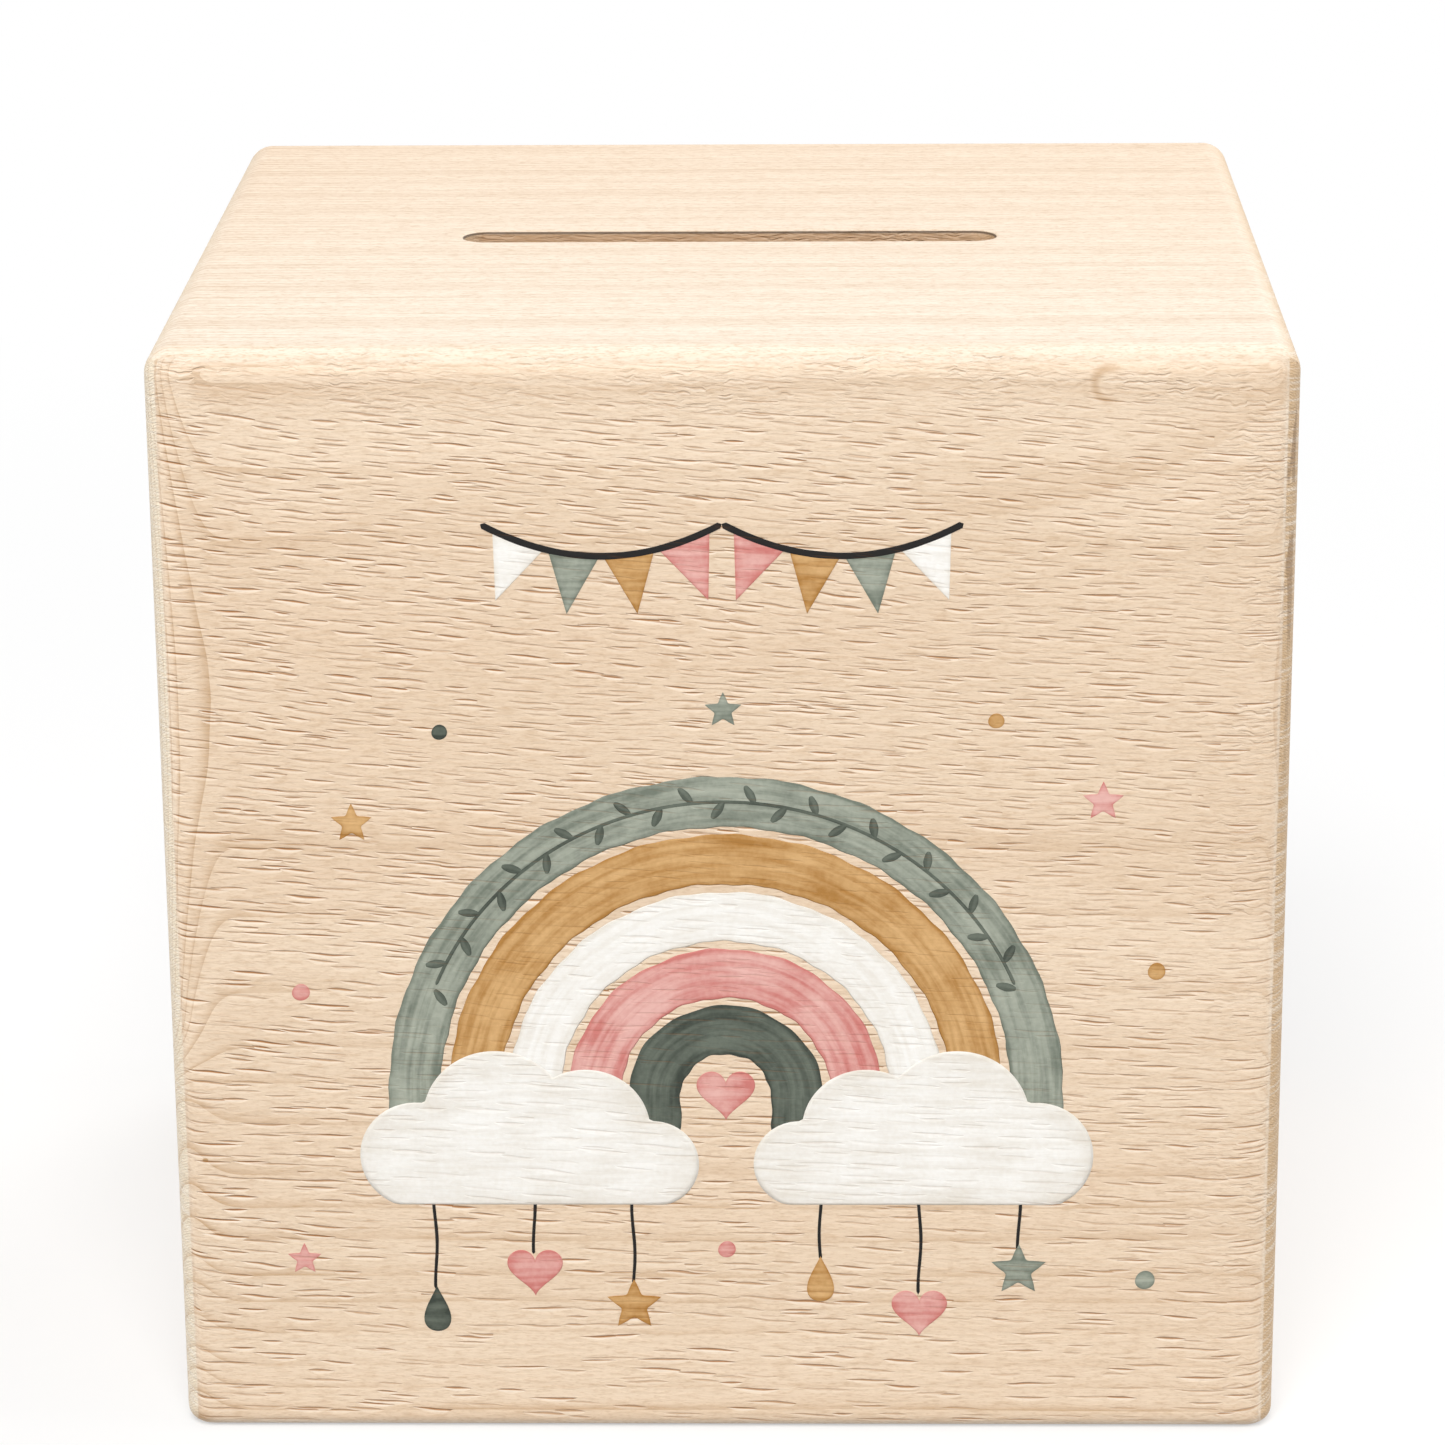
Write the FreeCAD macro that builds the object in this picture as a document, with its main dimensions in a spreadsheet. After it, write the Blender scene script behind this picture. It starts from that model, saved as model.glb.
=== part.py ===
"""A wooden money box: a beech carcass of mitred and rabbeted boards, with a coin slot in its top and
an emptying hole in its base that a rubber stopper closes.

The box stands on z = 0 with its origin under its middle. Its front faces -Y and its width runs along X.
"""

import FreeCAD
import Part
import Sketcher

import math
import os

doc = FreeCAD.newDocument("money_box")

# Driving dimensions in millimetres, each with its meaning.
DIMENSIONS = {
    "box_width": (100, "outside, left to right"),
    "box_depth": (90, "outside, front to back"),
    "box_height": (102, "outside, bottom to top"),
    "wall": (12, "thickness of the front, back and top boards"),
    "side_thickness": (12, "thickness of the two side boards"),
    "lap": (5, "depth of the rabbets that take the side boards and the base board"),
    "edge_round": (2.5, "radius sanded on the upright and top edges"),
    "foot_round": (1.5, "radius sanded on the bottom edges"),
    "slot_length": (50, "coin slot, tip to tip"),
    "slot_width": (4.4, "coin slot, across"),
    "slot_ease": (0.5, "radius that eases the slot's upper rim"),
    "tongue_length": (64, "loose tongue along its mitre"),
    "tongue_width": (11, "loose tongue across its mitre"),
    "tongue_thickness": (3, "loose tongue"),
    "tongue_setback": (4, "from the inside corner to the tongue's middle, along Y and along Z"),
    "tongue_play": (0.3, "room for glue beyond each long edge and each end of a tongue"),
    "base_thickness": (8, "base board"),
    "base_recess": (3, "from the surface that the box stands on up to the base board"),
    "base_play": (0.2, "gap round the base board in its rabbet"),
    "hole_diameter": (34, "emptying hole"),
    "plug_play": (0.15, "gap between the stopper's plug and the hole"),
    "plug_reach": (2, "how far the plug passes the base board into the chamber"),
    "flange_lip": (4, "how far the stopper's flange covers the base board"),
    "flange_thickness": (2, "stopper's flange"),
    "flange_round": (0.8, "radius on the flange's lower rim"),
    "skirt_wall": (3.5, "wall of the stopper's plug"),
    "web_thickness": (2.5, "web that closes the plug"),
    "grip_depth": (6, "depth of the two finger pockets under the stopper"),
    "grip_bar": (4, "bar between the finger pockets"),
    "rib_groove_count": (3, "grooves round the plug, which leave its sealing ribs"),
    "rib_groove_width": (1.3, "one groove"),
    "rib_groove_depth": (0.6, "one groove"),
    "pin_diameter": (1.4, "panel pin's shank"),
    "pin_length": (20, "panel pin, head to point"),
    "pin_point": (2, "panel pin's tapered point"),
    "pin_head_diameter": (2.4, "panel pin's head"),
    "pin_head_thickness": (0.8, "panel pin's head"),
    "pin_spacing": (30, "between the pins along the front and the back"),
}

dims = doc.addObject("Spreadsheet::Sheet", "dims")
for row, (alias, (value, meaning)) in enumerate(DIMENSIONS.items(), start=1):
    dims.set(f"A{row}", meaning)
    dims.set(f"B{row}", str(value))
    dims.setAlias(f"B{row}", alias)
doc.recompute()

# Places that several pieces share.
END_X = "dims.box_width / 2"
FACE_Y = "dims.box_depth / 2"
INNER_X = "(dims.box_width / 2 - dims.side_thickness)"
INNER_Y = "(dims.box_depth / 2 - dims.wall)"
CEILING = "(dims.box_height - dims.wall)"
LAP_X = "(dims.box_width / 2 - dims.side_thickness + dims.lap)"
LAP_Y = "(dims.box_depth / 2 - dims.wall + dims.lap)"
LAP_Z = "(dims.box_height - dims.wall + dims.lap)"
LEDGE = "(dims.base_recess + dims.base_thickness)"
LEFT, RIGHT = -1, 1
FRONT, BACK = -1, 1
SAME_HEIGHT = 1e-4  # mm, within which two heights are one

# The pins stand in the middle of the ledge that the rabbets leave: three at the front, three at the back
# and one at each side.
PIN_X = f"({INNER_X} + dims.lap / 2)"
PIN_Y = f"({INNER_Y} + dims.lap / 2)"
PIN_TOP = "(dims.base_recess + dims.pin_length)"
FRONT_PINS = [(f"{step} * dims.pin_spacing", f"{FRONT} * {PIN_Y}") for step in (-1, 0, 1)]
BACK_PINS = [(f"{step} * dims.pin_spacing", f"{BACK} * {PIN_Y}") for step in (-1, 0, 1)]
LEFT_PINS = [(f"{LEFT} * {PIN_X}", "0")]
RIGHT_PINS = [(f"{RIGHT} * {PIN_X}", "0")]
ALL_PINS = FRONT_PINS + BACK_PINS + LEFT_PINS + RIGHT_PINS


def number(expression):
    """The present value of an expression on the sheet's dimensions."""
    return float(dims.evalExpression(expression))


def new_body(name):
    """An empty solid body."""
    return doc.addObject("PartDesign::Body", name)


def origin_feature(body, role):
    """One of the body's own origin planes or axes."""
    return next(feature for feature in body.Origin.OriginFeatures if feature.Role == role)


def new_sketch(body, plane, name, offset=None):
    """A sketch on one of the body's own origin planes, moved along the plane's normal by offset."""
    sketch = body.newObject("Sketcher::SketchObject", name)
    sketch.AttachmentSupport = (origin_feature(body, plane), [""])
    sketch.MapMode = "FlatFace"
    if offset:
        sketch.setExpression("AttachmentOffset.Base.z", offset)
    return sketch


def bind(sketch, kind, expression, *where):
    """Adds a driving constraint whose value follows an expression."""
    index = sketch.addConstraint(Sketcher.Constraint(kind, *where, number(expression)))
    sketch.setExpression(f"Constraints[{index}]", expression)


def place(sketch, geometry, point, across, up):
    """Fixes a point of the sketch's geometry at a place measured from the sketch's origin."""
    bind(sketch, "DistanceX", across, -1, 1, geometry, point)
    bind(sketch, "DistanceY", up, -1, 1, geometry, point)


def add_outline(sketch, corners):
    """Adds a closed outline of straight lines through corners given as pairs of expressions."""
    points = [FreeCAD.Vector(number(across), number(up), 0) for across, up in corners]
    first = sketch.GeometryCount
    count = len(points)
    for index, point in enumerate(points):
        sketch.addGeometry(Part.LineSegment(point, points[(index + 1) % count]), False)
    for index, (across, up) in enumerate(corners):
        following = first + (index + 1) % count
        sketch.addConstraint(Sketcher.Constraint("Coincident", first + index, 2, following, 1))
        place(sketch, first + index, 1, across, up)


def add_rectangle(sketch, left, bottom, right, top):
    """Adds a rectangle between two corners."""
    add_outline(sketch, [(left, bottom), (right, bottom), (right, top), (left, top)])


def add_circle(sketch, across, up, diameter):
    """Adds a circle about a place measured from the sketch's origin."""
    middle = FreeCAD.Vector(number(across), number(up), 0)
    circle = Part.Circle(middle, FreeCAD.Vector(0, 0, 1), number(diameter) / 2)
    index = sketch.addGeometry(circle, False)
    place(sketch, index, 3, across, up)
    bind(sketch, "Diameter", diameter, index)


def add_slot(sketch, length, width):
    """Adds a straight slot with round ends, along the sketch's first axis and centred on its origin."""
    reach = number(f"({length} - {width}) / 2")
    radius = number(f"{width} / 2")
    up = FreeCAD.Vector(0, 0, 1)
    right_middle = FreeCAD.Vector(reach, 0, 0)
    left_middle = FreeCAD.Vector(-reach, 0, 0)
    corner = FreeCAD.Vector(reach, radius, 0)
    quarter = math.pi / 2
    far = sketch.addGeometry(Part.LineSegment(FreeCAD.Vector(-reach, radius, 0), corner), False)
    right_circle = Part.Circle(right_middle, up, radius)
    right = sketch.addGeometry(Part.ArcOfCircle(right_circle, -quarter, quarter), False)
    near = sketch.addGeometry(Part.LineSegment(-FreeCAD.Vector(-reach, radius, 0), -corner), False)
    left_circle = Part.Circle(left_middle, up, radius)
    left = sketch.addGeometry(Part.ArcOfCircle(left_circle, quarter, 3 * quarter), False)
    for line, line_end, arc, arc_end in ((far, 2, right, 2), (near, 1, right, 1),
                                         (near, 2, left, 2), (far, 1, left, 1)):
        sketch.addConstraint(Sketcher.Constraint("Tangent", line, line_end, arc, arc_end))
    sketch.addConstraint(Sketcher.Constraint("Equal", right, left))
    place(sketch, right, 3, f"({length} - {width}) / 2", "0")
    place(sketch, left, 3, f"-({length} - {width}) / 2", "0")
    bind(sketch, "Radius", f"{width} / 2", right)


def pad(body, sketch, length, both_ways=False):
    """Raises a sketch's outline along its plane's normal, or by half the length each way."""
    feature = body.newObject("PartDesign::Pad", f"{sketch.Name}_pad")
    feature.Profile = sketch
    feature.setExpression("Length", length)
    feature.Midplane = both_ways
    doc.recompute()
    return feature


def pocket(body, sketch, depth=None, both_ways=False):
    """Cuts a sketch's outline out of the body: up to a depth along the plane's normal, evenly both ways over
    a length, or right through where no depth is given. A cut that removes nothing is a mistake."""
    before = body.Shape.Volume
    feature = body.newObject("PartDesign::Pocket", f"{sketch.Name}_cut")
    feature.Profile = sketch
    if depth:
        feature.setExpression("Length", depth)
        feature.Reversed = not both_ways
        feature.Midplane = both_ways
    else:
        feature.Type = "ThroughAll"
        feature.Midplane = True
    doc.recompute()
    if not body.Shape.Volume < before:
        raise RuntimeError(f"{feature.Name} cuts nothing")
    return feature


def edges_where(shape, test):
    """Names of the shape's edges that pass a test."""
    return [f"Edge{index}" for index, edge in enumerate(shape.Edges, start=1) if test(edge)]


def fillet(body, test, radius):
    """Rounds the edges of the body's newest feature that pass a test."""
    base = body.Tip
    feature = body.newObject("PartDesign::Fillet", f"{base.Name}_round")
    feature.Base = (base, edges_where(base.Shape, test))
    feature.setExpression("Radius", radius)
    doc.recompute()
    return feature


def at_height(edge, height):
    """Whether an edge lies level at a height."""
    box = edge.BoundBox
    return abs(box.ZMin - height) < SAME_HEIGHT and abs(box.ZMax - height) < SAME_HEIGHT


def sanded_outline():
    """The whole box as one block with its edges rounded, as sanding leaves it after the glue-up."""
    body = new_body("sanded_outline")
    plan = new_sketch(body, "XY_Plane", "outline_plan")
    add_rectangle(plan, f"-{END_X}", f"-{FACE_Y}", END_X, FACE_Y)
    pad(body, plan, "dims.box_height")
    fillet(body, lambda edge: not at_height(edge, 0), "dims.edge_round")
    fillet(body, lambda edge: at_height(edge, 0), "dims.foot_round")
    return body


def sanded(body, outline, label):
    """A board as it is after the whole box has been sanded: what of it lies inside the rounded outline."""
    board = doc.addObject("Part::Common", f"{label}_sanded")
    board.Base = body
    board.Tool = outline
    board.Label = label
    return board


def tongue_section(sketch, side, play):
    """Adds the section of a loose tongue, square across the mitre at one side of the box."""
    middle_y = f"{side} * ({INNER_Y} + dims.tongue_setback)"
    middle_z = f"({CEILING} + dims.tongue_setback)"
    half_width = f"((dims.tongue_width / 2 + {play}) / sqrt(2))"
    half_thickness = "(dims.tongue_thickness / 2 / sqrt(2))"
    add_outline(sketch, [
        (f"{middle_y} + {side} * ({along} * {half_width} + {across} * {half_thickness})",
         f"{middle_z} + {across} * {half_thickness} - {along} * {half_width}")
        for along, across in ((-1, -1), (1, -1), (1, 1), (-1, 1))
    ])


def tongue_groove(body, side, name):
    """Cuts the groove for a loose tongue into a board's mitre, with room for glue."""
    section = new_sketch(body, "YZ_Plane", name)
    tongue_section(section, side, "dims.tongue_play")
    pocket(body, section, "dims.tongue_length + 2 * dims.tongue_play", both_ways=True)


def pin_holes(body, pins, name):
    """Drills up into the ledge for the panel pins."""
    plan = new_sketch(body, "XY_Plane", name)
    for across, up in pins:
        add_circle(plan, across, up, "dims.pin_diameter")
    pocket(body, plan, PIN_TOP)


def face_board(side, name, pins, outline):
    """The front or back board: mitred to the top board, with rabbets for the side boards and the base."""
    body = new_body(f"{name}_blank")
    section = new_sketch(body, "YZ_Plane", f"{name}_section")
    add_outline(section, [(f"{side} * {FACE_Y}", "0"), (f"{side} * {INNER_Y}", "0"),
                          (f"{side} * {INNER_Y}", CEILING), (f"{side} * {FACE_Y}", "dims.box_height")])
    pad(body, section, "dims.box_width", both_ways=True)
    ends = new_sketch(body, "XY_Plane", f"{name}_end_rabbets")
    for end in (LEFT, RIGHT):
        add_rectangle(ends, f"{end} * {INNER_X}", f"{side} * {INNER_Y}",
                      f"{end} * {END_X}", f"{side} * {LAP_Y}")
    pocket(body, ends)
    bottom = new_sketch(body, "YZ_Plane", f"{name}_base_rabbet")
    add_rectangle(bottom, f"{side} * {INNER_Y}", "0", f"{side} * {LAP_Y}", LEDGE)
    pocket(body, bottom)
    tongue_groove(body, side, f"{name}_groove")
    pin_holes(body, pins, f"{name}_pin_holes")
    return sanded(body, outline, name)


def in_slot(point):
    """Whether a point, seen from above, lies in the slot or on its rim."""
    return abs(point.x) < number("dims.slot_length / 2") and abs(point.y) < number("dims.slot_width")


def top_board(outline):
    """The top board: mitred at the front and the back, with rabbets for the side boards, and the slot."""
    name = "top_board"
    body = new_body(f"{name}_blank")
    section = new_sketch(body, "YZ_Plane", f"{name}_section")
    add_outline(section, [(f"-{FACE_Y}", "dims.box_height"), (f"-{INNER_Y}", CEILING),
                          (INNER_Y, CEILING), (FACE_Y, "dims.box_height")])
    pad(body, section, "dims.box_width", both_ways=True)
    ends = new_sketch(body, "XZ_Plane", f"{name}_end_rabbets")
    for end in (LEFT, RIGHT):
        add_rectangle(ends, f"{end} * {INNER_X}", CEILING, f"{end} * {END_X}", LAP_Z)
    pocket(body, ends)
    for side, which in ((FRONT, "front"), (BACK, "back")):
        tongue_groove(body, side, f"{name}_{which}_groove")
    slot = new_sketch(body, "XY_Plane", "coin_slot")
    add_slot(slot, "dims.slot_length", "dims.slot_width")
    pocket(body, slot)
    height = number("dims.box_height")
    fillet(body, lambda edge: at_height(edge, height) and in_slot(edge.CenterOfMass), "dims.slot_ease")
    return sanded(body, outline, name)


def side_board(side, name, pins, outline):
    """A side board: it drops into the rabbets of the front, back and top boards, flush with their ends."""
    body = new_body(f"{name}_blank")
    plan = new_sketch(body, "XY_Plane", f"{name}_plan")
    add_rectangle(plan, f"{side} * {INNER_X}", f"-{LAP_Y}", f"{side} * {END_X}", LAP_Y)
    pad(body, plan, LAP_Z)
    bottom = new_sketch(body, "XZ_Plane", f"{name}_base_rabbet")
    add_rectangle(bottom, f"{side} * {INNER_X}", "0", f"{side} * {LAP_X}", LEDGE)
    pocket(body, bottom)
    pin_holes(body, pins, f"{name}_pin_holes")
    return sanded(body, outline, name)


def base_board():
    """The base board, up against the ledge of the rabbets, with the emptying hole and the pins' holes."""
    body = new_body("base_board")
    plan = new_sketch(body, "XY_Plane", "base_plan", "dims.base_recess")
    half_width = f"({LAP_X} - dims.base_play)"
    half_depth = f"({LAP_Y} - dims.base_play)"
    add_rectangle(plan, f"-{half_width}", f"-{half_depth}", half_width, half_depth)
    pad(body, plan, "dims.base_thickness")
    hole = new_sketch(body, "XY_Plane", "emptying_hole")
    add_circle(hole, "0", "0", "dims.hole_diameter")
    pocket(body, hole)
    shanks = new_sketch(body, "XY_Plane", "base_pin_holes")
    heads = new_sketch(body, "XY_Plane", "base_pin_seats", "dims.base_recess")
    for across, up in ALL_PINS:
        add_circle(shanks, across, up, "dims.pin_diameter")
        add_circle(heads, across, up, "dims.pin_head_diameter")
    pocket(body, shanks)
    pocket(body, heads, "dims.pin_head_thickness")
    return body


def mitre_tongue(side, name):
    """A loose tongue in the mitre between the top board and the front or back board."""
    body = new_body(name)
    section = new_sketch(body, "YZ_Plane", f"{name}_section")
    tongue_section(section, side, "0")
    pad(body, section, "dims.tongue_length", both_ways=True)
    return body


def revolve(body, sketch, kind):
    """Turns a sketch's outline once round its upright axis, as a solid or as a cut."""
    feature = body.newObject(f"PartDesign::{kind}", f"{sketch.Name}_turned")
    feature.Profile = sketch
    feature.ReferenceAxis = (sketch, ["V_Axis"])
    feature.Angle = 360
    doc.recompute()
    return feature


def panel_pin(name, across, up):
    """A panel pin, head down, flush with the underside of the base board."""
    body = new_body(name)
    section = new_sketch(body, "XZ_Plane", f"{name}_section")
    head = "dims.pin_head_diameter / 2"
    shank = "dims.pin_diameter / 2"
    seat = "dims.base_recess + dims.pin_head_thickness"
    add_outline(section, [("0", "dims.base_recess"), (head, "dims.base_recess"), (head, seat), (shank, seat),
                          (shank, f"{PIN_TOP} - dims.pin_point"), ("0", PIN_TOP)])
    revolve(body, section, "Revolution")
    body.setExpression("Placement.Base.x", across)
    body.setExpression("Placement.Base.y", up)
    return body


def base_pins():
    """The panel pins that hold the base board, each a solid of its own."""
    pins = [panel_pin(f"pin_{index}", across, up) for index, (across, up) in enumerate(ALL_PINS, start=1)]
    group = doc.addObject("Part::Compound", "base_pins")
    group.Links = pins
    return group


def stopper():
    """The rubber stopper: a ribbed hollow plug with a flange below the base board and a bar to grip it by."""
    body = new_body("stopper")
    plug = "(dims.hole_diameter / 2 - dims.plug_play)"
    flange = "(dims.hole_diameter / 2 + dims.flange_lip)"
    bore = f"({plug} - dims.skirt_wall)"
    underside = "(dims.base_recess - dims.flange_thickness)"
    pocket_top = f"({underside} + dims.grip_depth)"
    web_top = f"({pocket_top} + dims.web_thickness)"
    plug_length = "(dims.base_thickness + dims.plug_reach)"
    plug_top = f"(dims.base_recess + {plug_length})"
    section = new_sketch(body, "XZ_Plane", "stopper_section")
    add_outline(section, [("0", pocket_top), (bore, pocket_top), (bore, underside), (flange, underside),
                          (flange, "dims.base_recess"), (plug, "dims.base_recess"), (plug, plug_top),
                          (bore, plug_top), (bore, web_top), ("0", web_top)])
    revolve(body, section, "Revolution")
    low = number(underside)
    hole = number("dims.hole_diameter")
    fillet(body, lambda edge: at_height(edge, low) and edge.BoundBox.XLength > hole, "dims.flange_round")
    bar = new_sketch(body, "XY_Plane", "grip_bar", underside)
    bar_reach = f"({bore} + dims.skirt_wall / 2)"
    add_rectangle(bar, f"-{bar_reach}", "-dims.grip_bar / 2", bar_reach, "dims.grip_bar / 2")
    pad(body, bar, "dims.grip_depth")
    groove_pitch = f"({plug_length} / (dims.rib_groove_count + 1))"
    groove_middle = f"(dims.base_recess + {groove_pitch})"
    groove = new_sketch(body, "XZ_Plane", "rib_groove")
    add_rectangle(groove, f"{plug} - dims.rib_groove_depth", f"{groove_middle} - dims.rib_groove_width / 2",
                  flange, f"{groove_middle} + dims.rib_groove_width / 2")
    first = revolve(body, groove, "Groove")
    pattern = body.newObject("PartDesign::LinearPattern", "rib_grooves")
    pattern.Originals = [first]
    pattern.Direction = (origin_feature(body, "Z_Axis"), [""])
    pattern.setExpression("Length", f"{groove_pitch} * (dims.rib_groove_count - 1)")
    pattern.setExpression("Occurrences", "dims.rib_groove_count")
    body.Tip = pattern
    return body


def main():
    """Builds every piece, checks it and writes it."""
    outline = sanded_outline()
    pieces = [
        face_board(FRONT, "front_board", FRONT_PINS, outline),
        face_board(BACK, "back_board", BACK_PINS, outline),
        top_board(outline),
        side_board(LEFT, "left_side_board", LEFT_PINS, outline),
        side_board(RIGHT, "right_side_board", RIGHT_PINS, outline),
        base_board(),
        mitre_tongue(FRONT, "front_mitre_tongue"),
        mitre_tongue(BACK, "back_mitre_tongue"),
        base_pins(),
        stopper(),
    ]
    doc.recompute()
    for item in doc.Objects:
        if "Invalid" in item.State or "Error" in item.State:
            raise RuntimeError(f"{item.Name} failed: {item.State}")
    for piece in pieces:
        if piece.Shape.isNull() or not piece.Shape.isValid():
            raise RuntimeError(f"{piece.Label} has no valid shape")
    os.makedirs("parts", exist_ok=True)
    for piece in pieces:
        piece.Shape.exportStep(f"parts/{piece.Label}.step")
        print(f"{piece.Label}: {len(piece.Shape.Solids)} solids, {piece.Shape.Volume:.1f} mm3")


main()
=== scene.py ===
"""Looks of a wooden money box: oiled beech boards, a matt print, a rubber stopper and steel pins.

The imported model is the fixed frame. Lengths are millimetres until they go into a mesh, which holds metres.
The box stands on z = 0 with its origin under its middle, and its front faces -Y.
"""

import logging
import math
from dataclasses import dataclass
from enum import Enum

import bpy
import numpy as np
from mathutils import Matrix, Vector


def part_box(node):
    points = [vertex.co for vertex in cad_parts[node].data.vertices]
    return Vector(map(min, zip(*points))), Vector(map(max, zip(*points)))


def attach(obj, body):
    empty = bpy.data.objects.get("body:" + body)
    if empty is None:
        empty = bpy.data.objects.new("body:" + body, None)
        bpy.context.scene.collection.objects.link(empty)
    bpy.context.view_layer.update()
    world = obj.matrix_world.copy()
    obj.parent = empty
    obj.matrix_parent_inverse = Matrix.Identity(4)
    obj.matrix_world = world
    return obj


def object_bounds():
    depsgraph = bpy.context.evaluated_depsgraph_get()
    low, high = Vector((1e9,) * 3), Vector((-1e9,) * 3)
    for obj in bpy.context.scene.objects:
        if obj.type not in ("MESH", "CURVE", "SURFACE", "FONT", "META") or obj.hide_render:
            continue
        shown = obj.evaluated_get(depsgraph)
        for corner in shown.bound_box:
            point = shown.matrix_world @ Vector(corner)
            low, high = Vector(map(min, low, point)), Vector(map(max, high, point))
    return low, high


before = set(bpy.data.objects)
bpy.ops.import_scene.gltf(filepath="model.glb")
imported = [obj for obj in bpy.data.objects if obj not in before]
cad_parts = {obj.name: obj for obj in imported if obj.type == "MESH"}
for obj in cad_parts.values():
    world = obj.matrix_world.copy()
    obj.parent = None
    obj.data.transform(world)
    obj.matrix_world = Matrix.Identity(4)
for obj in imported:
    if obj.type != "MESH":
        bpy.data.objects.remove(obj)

LOG = logging.getLogger("money_box")
MM = 0.001  # metres in a millimetre
CAD_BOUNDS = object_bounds()
HALF_WIDTH = CAD_BOUNDS[1][0] / MM
BLOCK_PITH = (0.0, 105.0, 71.0)  # mm, the log behind the front, top and back boards
TWIG = (33.6, -44.6, 98.9)  # mm, on the rounded edge at the upper right of the front
PIN_KNOT = (-47.2, -45.0, 26.7)  # mm, low down at the left of the front
FLOW = "flow"  # attribute of the print: way along a stroke, way across it, nearness to its rim
WHITE = "#FFFFFF"
TINY = 1e-6  # keeps a divisor above zero
MODES = {  # the property that the second word of a node's kind sets
    "Math": "operation",
    "VectorMath": "operation",
    "Mix": "data_type",
    "MapRange": "interpolation_type",
    "TexNoise": "noise_dimensions",
    "TexWhiteNoise": "noise_dimensions",
    "TexVoronoi": "voronoi_dimensions",
}
Part = bpy.types.Node | bpy.types.NodeSocket
Pair = tuple[float, float]
Triple = tuple[float, float, float]
Curve = tuple[float, ...]  # two inputs, and the outputs that they give unless these are 0 and 1


class Axis(Enum):
    """An axis of the box's own frame."""

    X = 0
    Y = 1
    Z = 2


def linear(colour: str) -> tuple[float, float, float, float]:
    """Turns an sRGB hex colour into a linear one.

    Args:
        colour: Six hex digits after a hash sign.

    Returns:
        Linear red, green and blue, and an alpha of one.
    """
    shares = np.array([int(colour[i : i + 2], 16) / 255 for i in (1, 3, 5)])
    bright = ((shares + 0.055) / 1.055) ** 2.4
    return (*np.where(shares <= 0.04045, shares / 12.92, bright).tolist(), 1.0)


def circle(turn: np.ndarray) -> np.ndarray:
    """Points across and up on a circle of radius one, at angles in radians from the right."""
    return np.stack([np.cos(turn), np.sin(turn)], axis=-1)


class Graph:
    """The node tree of one material or of the world while it is being made."""

    def __init__(self, owner: str | bpy.types.World) -> None:
        """Starts an empty tree.

        Args:
            owner: The name of a new material, or a world.
        """
        self.owner = bpy.data.materials.new(owner) if isinstance(owner, str) else owner
        self.owner.use_nodes = True
        self.tree = self.owner.node_tree
        self.tree.nodes.clear()

    def add(self, kind: str, *values, named: dict | None = None, **settings) -> bpy.types.Node:
        """Adds one node with its settings and links.

        Args:
            kind: The node's type without its common prefix, and then its mode if it has one.
            *values: What the node's live inputs take, in order: a node, a socket, a value or a hex colour.
            named: What inputs take by name.
            **settings: The node's own properties.

        Returns:
            The new node.
        """
        kind, _, mode = kind.partition(" ")
        node = self.tree.nodes.new(f"ShaderNode{kind}")
        if mode:
            setattr(node, MODES[kind], mode)
        for key, value in settings.items():
            setattr(node, key, value)
        live = [socket for socket in node.inputs if socket.enabled]
        pairs = list(zip(live, values))
        pairs += [(next(s for s in live if s.name == key), value) for key, value in (named or {}).items()]
        for socket, value in pairs:
            if isinstance(value, bpy.types.Node):
                value = next(output for output in value.outputs if output.enabled)
            if isinstance(value, bpy.types.NodeSocket):
                self.tree.links.new(value, socket)
            else:
                socket.default_value = linear(value) if isinstance(value, str) else value
        return node

    def finish(self, **named) -> bpy.types.Material:
        """Gives the material a Principled surface.

        Args:
            **named: What the surface's inputs take, their names with _ for spaces.

        Returns:
            The finished material.
        """
        inputs = {key.replace("_", " "): value for key, value in named.items()}
        self.add("OutputMaterial", self.add("BsdfPrincipled", named=inputs))
        return self.owner

    def millimetres(self) -> bpy.types.Node:
        """The point's place on the object, in millimetres."""
        return self.add("VectorMath SCALE", self.add("TexCoord").outputs["Object"], 1 / MM)


class Figure(Enum):
    """Noise in the wood: length along the fibres and width across in mm, detail and distortion."""

    SWAY = (30.0, 11.0, 1.0, 0.0)  # wide sway of the fibres
    RIPPLE = (4.0, 1.6, 1.0, 0.0)  # short sway, and the ripples that sanding leaves
    FIBRE = (2.0, 0.36, 2.0, 0.0)
    PORE = (0.55, 0.14, 1.0, 0.0)
    ZONE = (70.0, 8.0, 2.0, 0.0)  # pale and rosy wood
    BLOTCH = (14.0, 5.0, 1.0, 0.0)  # where short grain tears
    WRINKLE = (1.4, 0.42, 2.0, 1.2)  # fibres of torn grain
    WAVE = (1.4, 3.2, 1.0, 0.0)  # what makes torn fibres wander
    BREAK = (14.0, 1.6, 2.0, 0.0)  # gaps in the year lines


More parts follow.
